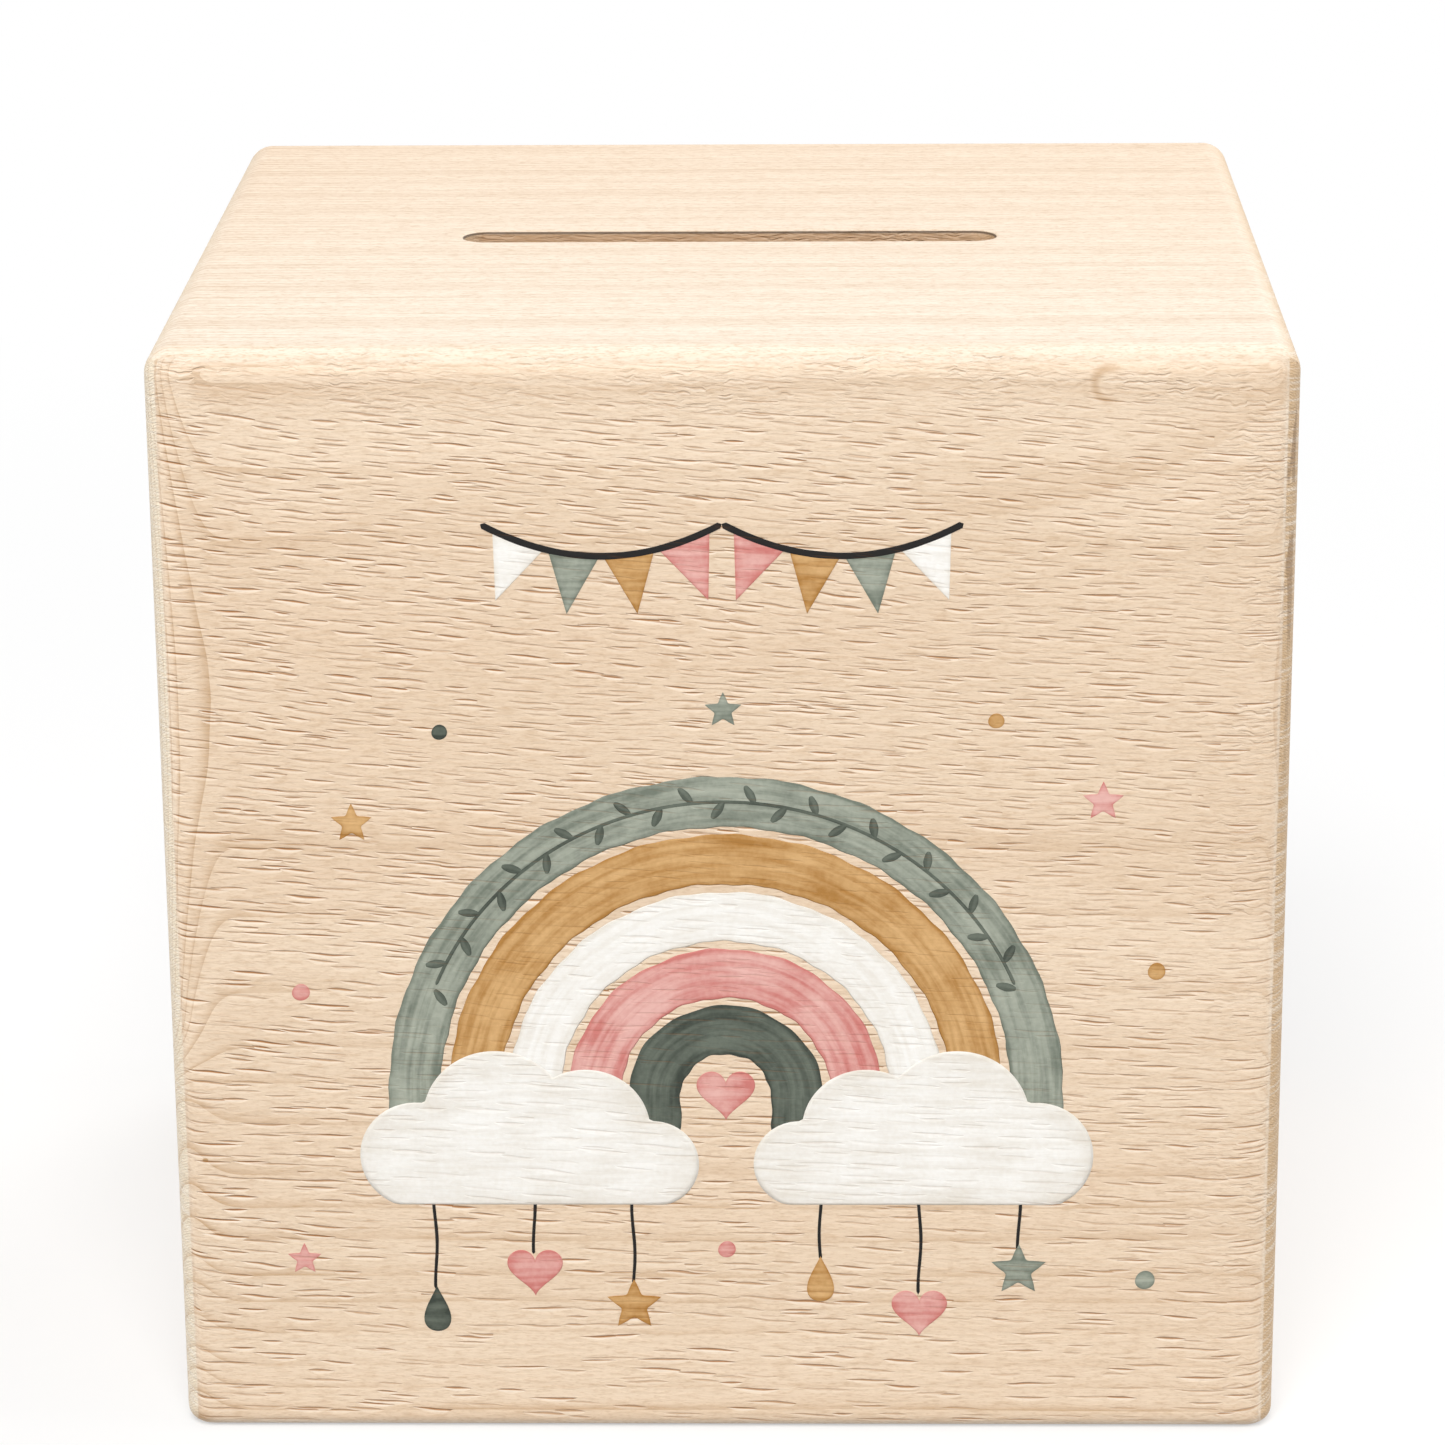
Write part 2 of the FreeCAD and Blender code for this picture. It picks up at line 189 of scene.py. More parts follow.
@dataclass(frozen=True)
class Spread:
    """How spindles are spread over a board and how large they are, in millimetres.

    The curves run over the way up from a spindle's middle line, in half widths.
    """

    step_along: float
    step_across: float
    length: float
    width: float
    chance: float  # share by which chance makes a spindle shallower
    rarity: float = 1.6  # power that makes deep spindles rare
    jitter: float = 0.9  # share of its cell over which chance moves a spindle
    halves: Pair = (0.3, 0.62)  # least and greatest half length, as a share of the length
    stretch: float = 0.4  # share by which spindles are longer where most others are missing
    sliver: float = 0.001  # least width at the points, as a share of the width
    core: Curve = (1.2, 0.3)
    groove_above: Curve = (1.6, 0.2)
    groove_below: Curve = (-4.6, -0.4)
    # lip marks the lower lip, where a highlight is painted
    lip: Curve = (-0.6, -1.8)


@dataclass(frozen=True)
class Sweep:
    """A broad dark growth band that rises as a parabola towards the far end, sizes in millimetres.

    It is the late wood of one year, so it has a sharp lower edge and fades upwards.
    """

    start: float = 20.0  # way along the board
    level: float = 87.9  # height above the floor at the start
    rise: float = 0.0125  # height that each square millimetre beyond the start gives
    edge: Curve = (-1.2, -0.5)  # way up from the parabola over which it sets in
    upper: float = 3.8  # way up from the parabola at which it ends
    appears: Curve = (-7.0, 4.0)  # way from the start over which it appears
    strength: float = 0.21


@dataclass(frozen=True)
class Log:
    """The place in the log of each point of a board, with the tree that finds it: lengths in millimetres."""

    graph: Graph
    place: Part
    along: Part
    round: Part
    radius: Part
    level: Part  # height above the floor
    facing: Part  # share of the surface that faces the rays
    flat: Part  # 1 where that makes it flat-sawn
    end: Part  # share of the surface that faces the fibres' ends
    far: Part  # 1 on the far half of the board


@dataclass(frozen=True)
class Torn:
    """Where short grain has torn, each a share of the surface, and the wrinkles that it leaves."""

    share: Part
    under_top: Part
    patches: Part
    wrinkle: Part
    creases: list[Part]  # dark cores, grooves with painted shade and lower lips with a painted highlight


@dataclass(frozen=True)
class Grain:
    """A board's pattern, and the relief that it gives."""

    log: Log
    torn: Torn
    slow: Part  # wide sway of the fibres
    fine: Part
    pores: Part
    fleck: Part  # dark cores of the ray flecks
    # grooves: their relief, and where shade is painted in them
    grooves: Part
    # lower lips, where a highlight is painted
    lip_highlights: Part
    hatch: Part  # way across the lines on the sawn ends, from 0 to 0.5
    ends: Part  # how far the end grain shows
    height: Part  # mm


@dataclass(frozen=True)
class Beech:
    """Beech, planed, sanded and thinly oiled.

    Pale pinkish tan. Rays run from the pith outwards: where they meet the surface head-on they show as short
    dark spindles, each a narrow groove that catches light on its lower lip; shade is also painted in the
    groove and a highlight on the lip. Year rings show as thin lines, fine and straight on quartered faces and
    wide apart on flat-sawn ones. The quartered tones, which the top takes, are painted paler and greyer for
    the strong light on the top. Short grain tears under the top edge and towards the ends, with shade painted
    in its hollows. End grain is hatched, and painted paler at the near end as if lit and darker at the far
    end as if in shade. The near end is at the low end of the fibres' axis: on the front it is the left one.
    """

    name: str
    fibre: Axis
    across: Axis  # the width of a flat-sawn face
    depth: Axis
    pith: Triple  # mm, a point on the log's middle line
    reach: float  # mm from the pith to the board
    flat_sawn: Curve = (0.72, 0.97)  # share that faces the rays, to a flat-sawn face
    far_half: Curve = (-1.0, 1.0)  # mm along the board

    pale: str = "#F4DEC4"
    rosy: str = "#F2DABF"
    zones: Curve = (0.3, 0.7)  # noise, to rosy wood
    # quartered tones, paler and greyer than the flat-sawn ones: painted light for the strong light on the
    # box's top
    heart: str = "#F1DCC4"
    quarter: str = "#F4EADB"
    heart_ends: Curve = (60.0, 150.0)  # mm from the pith
    quartering: Curve = (1.0, 0.0, 0.0, 0.75)  # flat-sawn face, to the quartered tone

    ring: str = "#BE9464"
    ring_width: float = 1.05  # mm
    uneven: float = 2.7  # mm over which that width changes
    drift: float = 0.35  # rings by which the sway of the fibres moves the lines
    late_wood: Curve = (0.5, 1.0)  # share of a year, to its late wood
    late_power: float = 2.5
    vigour: Curve = (0.0, 1.0, 0.26, 0.65)  # chance, to the strength of a year's line
    vigour_power: float = 3.0
    breaks: Curve = (0.35, 0.65, 0.4, 1.0)  # noise, to what is left of a line
    clear: Pair = (16.0, 0.38)  # mm from the near end over which lines are stronger, and by how much
    growth_width: float = 3.4  # mm
    growth: Curve = (0.42, 0.72, 0.0, 0.17)  # noise, to the tint of poor growth
    curl_depth: float = 0.0  # mm by which the rings dip at the near end
    curl_reach: float = 7.0  # mm from that end over which they do
    curl_power: float = 3.0
    curl_turns: Pair = (31.0, 41.0)  # mm of height over which the dip sets in
    curl_rise: float = 0.4  # share of the dip by which the rings rise lower down
    sweep: Sweep | None = None  # a broad growth band
    pin_knot: Triple | None = None  # mm, a tiny dark knot
    knot: Curve = (0.35, 0.1, 0.0, 1.6)  # mm from its middle, to its strength
    twig: Triple | None = None  # mm, where a twig grew and the rings go round it
    loop: Pair = (1.5, 0.7)  # mm, radius and half width of those rings
    loop_opens: Curve = (1.2, -0.6, 0.0, 0.55)  # mm from the twig towards the far end, to their strength

    strong: Spread = Spread(5.0, 0.94, 3.9, 0.165, 0.7)
    weak: Spread = Spread(3.5, 0.7, 2.6, 0.14, 0.95)
    dark: str = "#AE6A1E"
    # pale tone of the painted highlights on the flecks' lower lips and on the far end's brink, and of the pale
    # rays on the ends
    lip: str = "#FFF7EA"
    fleck_tints: Triple = (0.86, 0.2, 0.85)  # strength of the cores, of the painted shade in the grooves and of the painted highlight on the lower lips
    lean: float = 0.1  # slope of the rays in the upper part of the board, at the middle of its length
    bend: float = 0.00022  # what that slope loses in each millimetre along the board
    leaning: Curve = (-62.0, 26.0, 0.35, 1.0)  # mm round the log, from foot to head, to the share of the lean
    upturn: Pair = (6.0, 0.8)  # mm over which the flecks turn up at the far end, and by how much
    swings: Pair = (2.0, 0.4)  # mm by which they follow the wide and the short sway
    thinning: Curve = (-62.0, 8.0, 0.7, 0.0)  # mm round the log, to the share of small flecks that is missing
    thin_end: Pair = (12.0, 0.8)  # mm at the far end over which they go missing, and their share there
    strong_thin: float = 0.6  # share of that by which the large ones go missing
    strength_at_ends: Pair = (1.05, 0.82)  # of the flecks, at the near and the far end
    under_tears: Curve = (0.0, 1.0, 1.0, 0.3)  # torn grain, to what is left of the flecks

    lies_open: Curve = (0.35, 0.7)  # share that faces the rays, to grain that can tear
    ragged_over: Curve = (94.0, 99.5)  # mm of height over which the flecks give way to torn grain
    ragged_ends: Pair = (9.0, 14.0)  # mm at the near and the far end over which short grain tears
    ragged_strength: Pair = (0.45, 0.95)  # how far it does there
    patching: Curve = (0.4, 0.65, 0.25, 1.0)  # noise, to the share that is torn
    torn_fibres: Spread = Spread(1.8, 0.52, 2.0, 0.16, 0.8)
    torn_strength: Triple = (0.3, 0.75, 0.9)  # of their dark cores, their grooves with painted shade and their lower lips with a painted highlight
    waver: float = 1.05  # mm by which they wander at most
    hollow_shading: Curve = (0.5, 0.3, 0.0, 0.12)  # wrinkles, to the painted shade in their hollows
    bevel: float = 0.2  # tint of the rounded edge
    bevel_half: float = 0.5  # share that faces the rays in the middle of that edge
    arris: float = 0.67  # share that faces them where its upper arris is fuzzy
    fuzz: Curve = (0.15, 0.02, 0.0, 0.22)  # way from there, to the tint of the fuzz
    fuzz_fibres: Curve = (0.4, 0.58, 0.35, 1.0)  # wrinkles, to what they leave of it
    streaks: Curve = (0.5, 0.8, 0.0, 0.35)  # fibres, to their tint
    pits: Curve = (0.5, 0.75)  # noise, to the pores
    pitting: Curve = (0.0, 1.0, 0.45, 0.25)  # flat-sawn face, to the tint of the pores

    # end-grain tones: painted light makes the near end paler and painted shade makes the far end darker
    near_end: str = "#F4E2C6"
    far_end: str = "#D8B88F"
    end_starts: Curve = (0.52, 0.6)  # share that faces the ends, over which the end grain sets in
    end_strength: float = 0.85
    brink: float = 0.15  # strength of the thin line where it does
    brink_at: Pair = (0.5, 0.04)  # share that faces the ends there, and half its range
    end_rings: float = 0.7  # strength of the year lines on the ends
    spoke: Pair = (0.3, 7.0)  # mm, width and length of the rays on the ends
    spokes: Curve = (0.5, 0.72, 0.0, 0.55)  # noise, to the rays
    hatch: Pair = (4.4, 0.6)  # lines for each millimetre, and their slant in radians
    hatch_waver: float = 2.2  # lines by which the wrinkles move the hatch
    hatch_strokes: Curve = (0.2, 0.42)  # way across a line, to its dark part
    hatching: Pair = (0.2, 0.5)  # strength of the hatch on the near and the far end
    splinter: str = "#80592E"
    splinters: float = 0.0  # strength of the dark splinters on the far end's rounded edge
    splinter_size: Triple = (3.0, 9.0, 0.8)  # mm along the fibres, across the face and into the board
    splits: Curve = (0.47, 0.53)  # noise, to a splinter
    splinters_over: Curve = (56.0, 84.0)  # mm of height over which they set in
    rounding: Curve = (0.92, 0.84)  # share that faces the ends, to the rounded edge

    groove: float = 0.12  # mm, depth of a ray fleck
    swell: float = 0.05  # mm, height of the slow ripples that sanding leaves
    nap: float = 0.07  # mm, height of the fine fibres
    pore: float = 0.02  # mm, depth of the pores
    tear: float = 0.13  # mm, height of torn short grain
    cut: float = 0.08  # mm, depth of two hatch lines
    roughness: Curve = (0.0, 1.0, 0.5, 0.7)  # fleck, to roughness

    def by_axis(self, along: float, across: float, depth: float) -> Triple:
        """Values along the fibres, across the face and into the board, in the order of the box's axes."""
        values = {self.fibre: along, self.across: across, self.depth: depth}
        return tuple(values[axis] for axis in Axis)

    def log(self, graph: Graph) -> Log:
        """Finds where each point lay in the log.

        The arm is the part of the way from the pith that is square to the fibres. Its length is the radius,
        and its angle times the reach is the way round the log. At the near end the radius dips by a depth
        that falls with a power of the way in, and low down it rises instead.

        Args:
            graph: The material being made.

        Returns:
            The place of each point.
        """
        add = graph.add
        place = graph.millimetres()
        arm = add("VectorMath MULTIPLY", add("VectorMath SUBTRACT", place, self.pith), self.by_axis(0, 1, 1))
        at = add("SeparateXYZ", place).outputs
        along, level = at[self.fibre.value], at[Axis.Z.value]
        near = add("MapRange", along, -HALF_WIDTH, self.curl_reach - HALF_WIDTH, 1.0, 0.0)
        dips = (self.curl_rise * self.curl_depth, -self.curl_depth)
        depth = add("MapRange SMOOTHSTEP", level, *self.curl_turns, *dips)
        dip = add("Math MULTIPLY", add("Math POWER", near, self.curl_power), depth)
        parts = add("SeparateXYZ", arm).outputs
        height = add("Math ABSOLUTE", parts[self.depth.value])
        angle = add("Math ARCTANGENT", add("Math DIVIDE", parts[self.across.value], height))
        normal = add("SeparateXYZ", add("TexCoord").outputs["Normal"]).outputs
        facing = add("Math ABSOLUTE", normal[self.depth.value])
        return Log(
            graph=graph,
            place=place,
            along=along,
            round=add("Math MULTIPLY", angle, self.reach),
            radius=add("Math ADD", add("VectorMath LENGTH", arm), dip),
            level=level,
            facing=facing,
            flat=add("MapRange SMOOTHSTEP", facing, *self.flat_sawn),
            end=add("Math ABSOLUTE", normal[self.fibre.value]),
            far=add("MapRange", along, *self.far_half),
        )

    def noise(self, log: Log, figure: Figure) -> Part:
        """Noise whose patches are longer along the fibres than across them.

        Args:
            log: Where each point lay in the log.
            figure: The patches' sizes.

        Returns:
            The noise.
        """
        length, width, detail, sway = figure.value
        scale = self.by_axis(1 / length, 1 / width, 1 / width)
        scaled = log.graph.add("VectorMath MULTIPLY", log.place, scale)
        named = {"Scale": 1.0, "Detail": detail, "Distortion": sway}
        return log.graph.add("TexNoise 3D", scaled, named=named)

    def rays(self, log: Log, vector: Part, spread: Spread, thin: Part | float) -> tuple[Part, ...]:
        """Scattered spindles along the fibres, one in each cell of a stretched cell pattern.

        A spindle's half width falls with the square of the way along it from its middle, so that it ends in
        two points. Chance gives each its length and depth. Its groove is steep above the dark core and slopes
        gently below it, where it catches the light.

        Args:
            log: Where each point lay in the log.
            vector: Lengths along the fibres and round the log, with the grain's sway.
            spread: How the spindles are spread and how large they are.
            thin: Share of the spindles that is missing: where it is high, the others are longer.

        Returns:
            The dark core of each spindle, the wider groove that it lies in, which is also where shade is
            painted, and the groove's lower lip, where a highlight is painted, each up to 1 and 0 off it.
        """
        add = log.graph.add
        steps = (spread.step_along, spread.step_across, 1.0)
        scaled = add("VectorMath DIVIDE", vector, steps)
        cell = add("TexVoronoi 2D", scaled, named={"Scale": 1.0, "Randomness": spread.jitter})
        chance = add("SeparateColor", cell.outputs["Color"]).outputs
        away = add("VectorMath SUBTRACT", scaled, cell.outputs["Position"])
        way = add("SeparateXYZ", add("VectorMath MULTIPLY", away, steps)).outputs
        any_half = add("MapRange", chance[0], 0.0, 1.0, *(share * spread.length for share in spread.halves))
        half = add("Math MULTIPLY", any_half, add("Math MULTIPLY_ADD", thin, spread.stretch, 1.0))
        along = add("Math DIVIDE", way[0], half)
        taper = add("Math MULTIPLY_ADD", add("Math MULTIPLY", along, along), -1.0, 1.0)
        width = add("Math MULTIPLY", add("Math MAXIMUM", taper, spread.sliver), spread.width / 2)
        across = add("Math DIVIDE", way[1], width)
        rare = add("Math POWER", chance[2], spread.rarity)
        any_depth = add("MapRange", rare, 0.0, 1.0, 1 - spread.chance, 1.0)
        depth = add("Math MULTIPLY", any_depth, add("Math GREATER_THAN", chance[1], thin))
        core = add("MapRange SMOOTHSTEP", add("Math ABSOLUTE", across), *spread.core)
        below = add("MapRange", across, *spread.groove_below)
        groove = add("Math MINIMUM", add("MapRange SMOOTHSTEP", across, *spread.groove_above), below)
        # the lower lip, where a highlight is painted
        lip = add("Math MULTIPLY", below, add("MapRange SMOOTHSTEP", across, *spread.lip))
        return tuple(add("Math MULTIPLY", part, depth) for part in (core, groove, lip))

    def tearing(self, log: Log) -> Torn:
        """Finds where short grain tears: in patches under the top edge and towards both ends.

        Args:
            log: Where each point lay in the log.

        Returns:
            The torn grain.
        """
        add = log.graph.add
        lies_open = add("MapRange", log.facing, *self.lies_open)
        under_top = add("Math MULTIPLY", add("MapRange SMOOTHSTEP", log.level, *self.ragged_over), lies_open)
        near_end, far_end = self.ragged_ends
        near_strength, far_strength = self.ragged_strength
        near = add("MapRange SMOOTHSTEP", log.along, near_end - HALF_WIDTH, -HALF_WIDTH, 0.0, near_strength)
        far = add("MapRange SMOOTHSTEP", log.along, HALF_WIDTH - far_end, HALF_WIDTH, 0.0, far_strength)
        at_ends = add("Math MULTIPLY", add("Math MAXIMUM", near, far), lies_open)
        patches = add("MapRange SMOOTHSTEP", self.noise(log, Figure.BLOTCH), *self.patching)
        share = add("Math MULTIPLY", patches, add("Math MAXIMUM", under_top, at_ends))
        wandering = add("Math MULTIPLY_ADD", self.noise(log, Figure.WAVE), self.waver, log.round)
        creases = self.rays(log, add("CombineXYZ", log.along, wandering), self.torn_fibres, 0.0)
        torn = [add("Math MULTIPLY", part, add("Math MULTIPLY", share, strength))
                for part, strength in zip(creases, self.torn_strength)]
        return Torn(share, under_top, patches, self.noise(log, Figure.WRINKLE), torn)

    def flecks(self, log: Log, torn: Torn, slow: Part, quick: Part) -> list[Part]:
        """Lays the ray flecks where the surface faces the rays.

        They lean a little in the upper part of the board, sway with the fibres and turn up at the far end. At
        the foot and at the far end they are fewer.

        Args:
            log: Where each point lay in the log.
            torn: The torn grain, which hides them.
            slow: The fibres' wide sway.
            quick: The fibres' short sway.

        Returns:
            The flecks' dark cores, grooves with painted shade and lower lips with a painted highlight.
        """
        add = log.graph.add
        slope = add("Math MULTIPLY_ADD", log.along, -self.bend, self.lean)
        lean = add("Math MULTIPLY", add("MapRange", log.round, *self.leaning), slope)
        leant = add("Math MULTIPLY_ADD", lean, log.along, log.round)
        reach, turn = self.upturn
        last = add("MapRange", log.along, HALF_WIDTH - reach, HALF_WIDTH)
        turned = add("Math MULTIPLY_ADD", add("Math MULTIPLY", last, last), -turn, leant)
        wide, short = self.swings
        swung = add("Math MULTIPLY_ADD", quick, short, add("Math MULTIPLY_ADD", slow, wide, turned))
        vector = add("CombineXYZ", log.along, swung)
        reach, missing = self.thin_end
        thin_end = add("MapRange", log.along, HALF_WIDTH - reach, HALF_WIDTH, 0.0, missing)
        thin = add("Math MAXIMUM", add("MapRange", log.round, *self.thinning), thin_end)
        few = self.rays(log, vector, self.strong, add("Math MULTIPLY", thin, self.strong_thin))
        many = self.rays(log, vector, self.weak, thin)
        whole = add("Math MULTIPLY", log.flat, add("MapRange", torn.under_top, *self.under_tears))
        strength = add("MapRange", log.along, -HALF_WIDTH, HALF_WIDTH, *self.strength_at_ends)
        seen = add("Math MULTIPLY", whole, strength)
        kinds = [add("Math MULTIPLY", add("Math MAXIMUM", *kind), seen) for kind in zip(few, many)]
        return [add("Math MAXIMUM", *kind) for kind in zip(kinds, torn.creases)]

    def years(self, log: Log, slow: Part) -> tuple[Part, Part]:
        """Draws the year rings.

        Late wood darkens until one ring ends, each with its own strength, and the line breaks up here and
        there. Slow bands show good and poor growth.

        Args:
            log: Where each point lay in the log.
            slow: The fibres' wide sway.

        Returns:
            Strength of the lines and of the bands.
        """
        add = log.graph.add
        still = {"Scale": 1.0, "Detail": 0.0}
        uneven = add("TexNoise 1D", add("Math DIVIDE", log.radius, self.uneven), named=still)
        rings = add("Math MULTIPLY_ADD", log.radius, 1 / self.ring_width, uneven)
        drift = add("Math MULTIPLY_ADD", slow, self.drift, rings)
        late = add("Math POWER", add("MapRange", add("Math FRACT", drift), *self.late_wood), self.late_power)
        year = add("TexWhiteNoise 1D", add("Math FLOOR", drift))
        vigour = add("MapRange", add("Math POWER", year, self.vigour_power), *self.vigour)
        broken = add("MapRange", self.noise(log, Figure.BREAK), *self.breaks)
        reach, clearer = self.clear
        margin = add("MapRange", log.along, -HALF_WIDTH, reach - HALF_WIDTH, clearer, 0.0)
        shown = add("Math ADD", margin, add("Math MULTIPLY", broken, vigour))
        bands = add("Math MULTIPLY_ADD", log.radius, 1 / self.growth_width, slow)
        growth = add("TexNoise 1D", bands, named={"Scale": 1.0, "Detail": 2.0})
        return add("Math MULTIPLY", late, shown), growth

    def ends(self, grain: Grain, line: Part) -> Part:
        """Colours the sawn ends of the fibres, painted paler at the near end and darker at the far end as
        light and shade.

        Year rings show as arcs and rays as fine pale lines out from the pith. Torn fibres, drawn coarser than
        they are so that they show, hatch the ends, and dark splinters lie high up on the far end's rounded
        edge.

        Args:
            grain: The wood's pattern.
            line: Strength of the year lines.

        Returns:
            The colour.
        """
        log = grain.log
        add = log.graph.add
        # Painted light and shade: the near end's grain is paler, the far end's darker.
        tone = add("Mix RGBA", log.far, self.near_end, self.far_end)
        ringed = add("Mix RGBA", add("Math MULTIPLY", line, self.end_rings), tone, self.ring)
        ways = [add("Math DIVIDE", way, size) for way, size in zip((log.round, log.radius), self.spoke)]
        spokes = add("TexNoise 2D", add("CombineXYZ", *ways), named={"Scale": 1.0, "Detail": 1.0})
        rayed = add("Mix RGBA", add("MapRange", spokes, *self.spokes), ringed, self.lip)
        strokes = add("Math MULTIPLY", add("MapRange SMOOTHSTEP", grain.hatch, *self.hatch_strokes),
                      add("MapRange", log.far, 0.0, 1.0, *self.hatching))
        hatched = add("Mix RGBA", strokes, rayed, self.ring)
        long = add("VectorMath DIVIDE", log.place, self.by_axis(*self.splinter_size))
        wedges = add("TexNoise 3D", long, named={"Scale": 1.0, "Detail": 2.0})
        split = add("MapRange SMOOTHSTEP", wedges, *self.splits, 0.0, self.splinters)
        rounded = add("Math MULTIPLY", log.far, add("MapRange SMOOTHSTEP", log.end, *self.rounding))
        high = add("MapRange", log.level, *self.splinters_over)
        splinters = add("Math MULTIPLY", split, add("Math MULTIPLY", rounded, high))
        return add("Mix RGBA", splinters, hatched, self.splinter)

    def marked(self, log: Log, line: Part) -> Part:
        """Adds a broad band, a tiny knot and the rings round a twig to the year lines.

        The band fades with the way up from its parabola. The rings are a soft loop, open towards the far end.

        Args:
            log: Where each point lay in the log.
            line: Strength of the year lines.

        Returns:
            Strength of the lines with the band, the knot and the loop.
        """
        add = log.graph.add
        if self.sweep is not None:
            ahead = add("Math SUBTRACT", log.along, self.sweep.start)
            climb = add("Math MULTIPLY", add("Math MULTIPLY", ahead, ahead), self.sweep.rise)
            over = add("Math SUBTRACT", add("Math SUBTRACT", log.level, self.sweep.level), climb)
            sharp = add("MapRange SMOOTHSTEP", over, *self.sweep.edge)
            fading = add("MapRange", over, self.sweep.upper, self.sweep.edge[1])
            band = add("Math MULTIPLY", sharp, add("Math MULTIPLY", fading, self.sweep.strength))
            line = add("Math MULTIPLY_ADD", band, add("MapRange", ahead, *self.sweep.appears), line)
        if self.pin_knot is not None:
            off = add("VectorMath DISTANCE", log.place, self.pin_knot)
            line = add("Math MAXIMUM", line, add("MapRange SMOOTHSTEP", off, *self.knot))
        if self.twig is None:
            return line
        radius, half_width = self.loop
        away = add("VectorMath SUBTRACT", log.place, self.twig)
        astray = add("Math ABSOLUTE", add("Math SUBTRACT", add("VectorMath LENGTH", away), radius))
        loop = add("MapRange SMOOTHSTEP", astray, half_width, 0.0)
        side = add("SeparateXYZ", away).outputs[self.fibre.value]
        opened = add("Math MULTIPLY", loop, add("MapRange SMOOTHSTEP", side, *self.loop_opens))
        return add("Math MAXIMUM", line, opened)

    def grain(self, graph: Graph) -> Grain:
        """Lays out the wood's pattern and works out its relief.

        Args:
            graph: The material being made.

        Returns:
            The pattern.
        """
        add = graph.add
        log = self.log(graph)
        slow = self.noise(log, Figure.SWAY)
        quick = self.noise(log, Figure.RIPPLE)
        fine = self.noise(log, Figure.FIBRE)
        pores = self.noise(log, Figure.PORE)
        torn = self.tearing(log)
        fleck, grooves, lip_highlights = self.flecks(log, torn, slow, quick)
        lines, slant = self.hatch
        across = self.by_axis(0.0, lines * math.cos(slant), lines * math.sin(slant))
        way = add("VectorMath DOT_PRODUCT", log.place, across)
        hatch = add("Math PINGPONG", add("Math MULTIPLY_ADD", torn.wrinkle, self.hatch_waver, way), 0.5)
        ends = add("MapRange SMOOTHSTEP", log.end, *self.end_starts, 0.0, self.end_strength)
        napped = add("Math MULTIPLY_ADD", fine, self.nap, add("Math MULTIPLY", pores, -self.pore))
        rippled = add("Math MULTIPLY_ADD", quick, self.swell, napped)
        tears = add("Math MULTIPLY", add("Math MULTIPLY", torn.wrinkle, torn.share), self.tear)
        raised = add("Math ADD", rippled, tears)
        cut = add("Math MULTIPLY_ADD", add("Math MULTIPLY", hatch, ends), -self.cut, raised)
        height = add("Math MULTIPLY_ADD", grooves, -self.groove, cut)
        return Grain(log, torn, slow, fine, pores, fleck, grooves, lip_highlights, hatch, ends, height)

    def colour(self, grain: Grain) -> Part:
        """Colours the wood.

        Args:
            grain: Its pattern.

        Returns:
            The colour.
        """
        log, torn = grain.log, grain.torn
        add = log.graph.add
        zones = self.noise(log, Figure.ZONE)
        line, growth = self.years(log, grain.slow)

        # Flat-sawn wood is pale or rosy. The quartered faces are paler far from the pith.
        sawn = add("Mix RGBA", add("MapRange", zones, *self.zones), self.pale, self.rosy)
        # Painted light: the quartered tones, which the top takes, are paler and greyer to stand in for the
        # strong light on it.
        quartered = add("Mix RGBA", add("MapRange", log.radius, *self.heart_ends), self.heart, self.quarter)
        tint = add("Mix RGBA", add("MapRange", log.flat, *self.quartering), sawn, quartered)

        # The rounded edge is a little darker, and fuzzy along its upper arris.
        bevel = add("Math PINGPONG", log.facing, self.bevel_half)
        arris = add("Math ABSOLUTE", add("Math SUBTRACT", log.facing, self.arris))
        fuzz = add("Math MULTIPLY", add("MapRange SMOOTHSTEP", arris, *self.fuzz),
                   add("MapRange", torn.wrinkle, *self.fuzz_fibres))
        colour = add("Mix RGBA", add("Math MULTIPLY_ADD", bevel, self.bevel, fuzz), tint, self.far_end)

        # Growth bands, streaks of fibres, pores, painted shade in torn hollows, year lines and flecks lie over
        # each other.
        core_tint, groove_shade, highlight_tint = self.fleck_tints
        hollow_shade = add("MapRange", torn.wrinkle, *self.hollow_shading)
        pitting = add("MapRange", log.flat, *self.pitting)
        for share, tone in (
            (add("MapRange", growth, *self.growth), self.ring),
            (add("MapRange", grain.fine, *self.streaks), self.ring),
            (add("Math MULTIPLY", add("MapRange", grain.pores, *self.pits), pitting), self.ring),
            # painted shade in the torn hollows
            (add("Math MULTIPLY", hollow_shade, torn.share), self.ring),
            (self.marked(log, line), self.ring),
            # painted shade in the flecks' grooves, then a painted highlight on their lower lips
            (add("Math MULTIPLY", grain.grooves, groove_shade), self.ring),
            (add("Math MULTIPLY", grain.lip_highlights, highlight_tint), self.lip),
            (add("Math MULTIPLY", grain.fleck, core_tint), self.dark),
        ):
            colour = add("Mix RGBA", share, colour, tone)

        # A thin line marks where the end grain starts: brown at the near end, a painted highlight at the far
        # one.
        brink = add("Math MULTIPLY", add("Math COMPARE", log.end, *self.brink_at),
                    add("Math MULTIPLY", torn.patches, self.brink))
        ended = add("Mix RGBA", grain.ends, colour, self.ends(grain, line))
        return add("Mix RGBA", brink, ended, add("Mix RGBA", log.far, self.ring, self.lip))

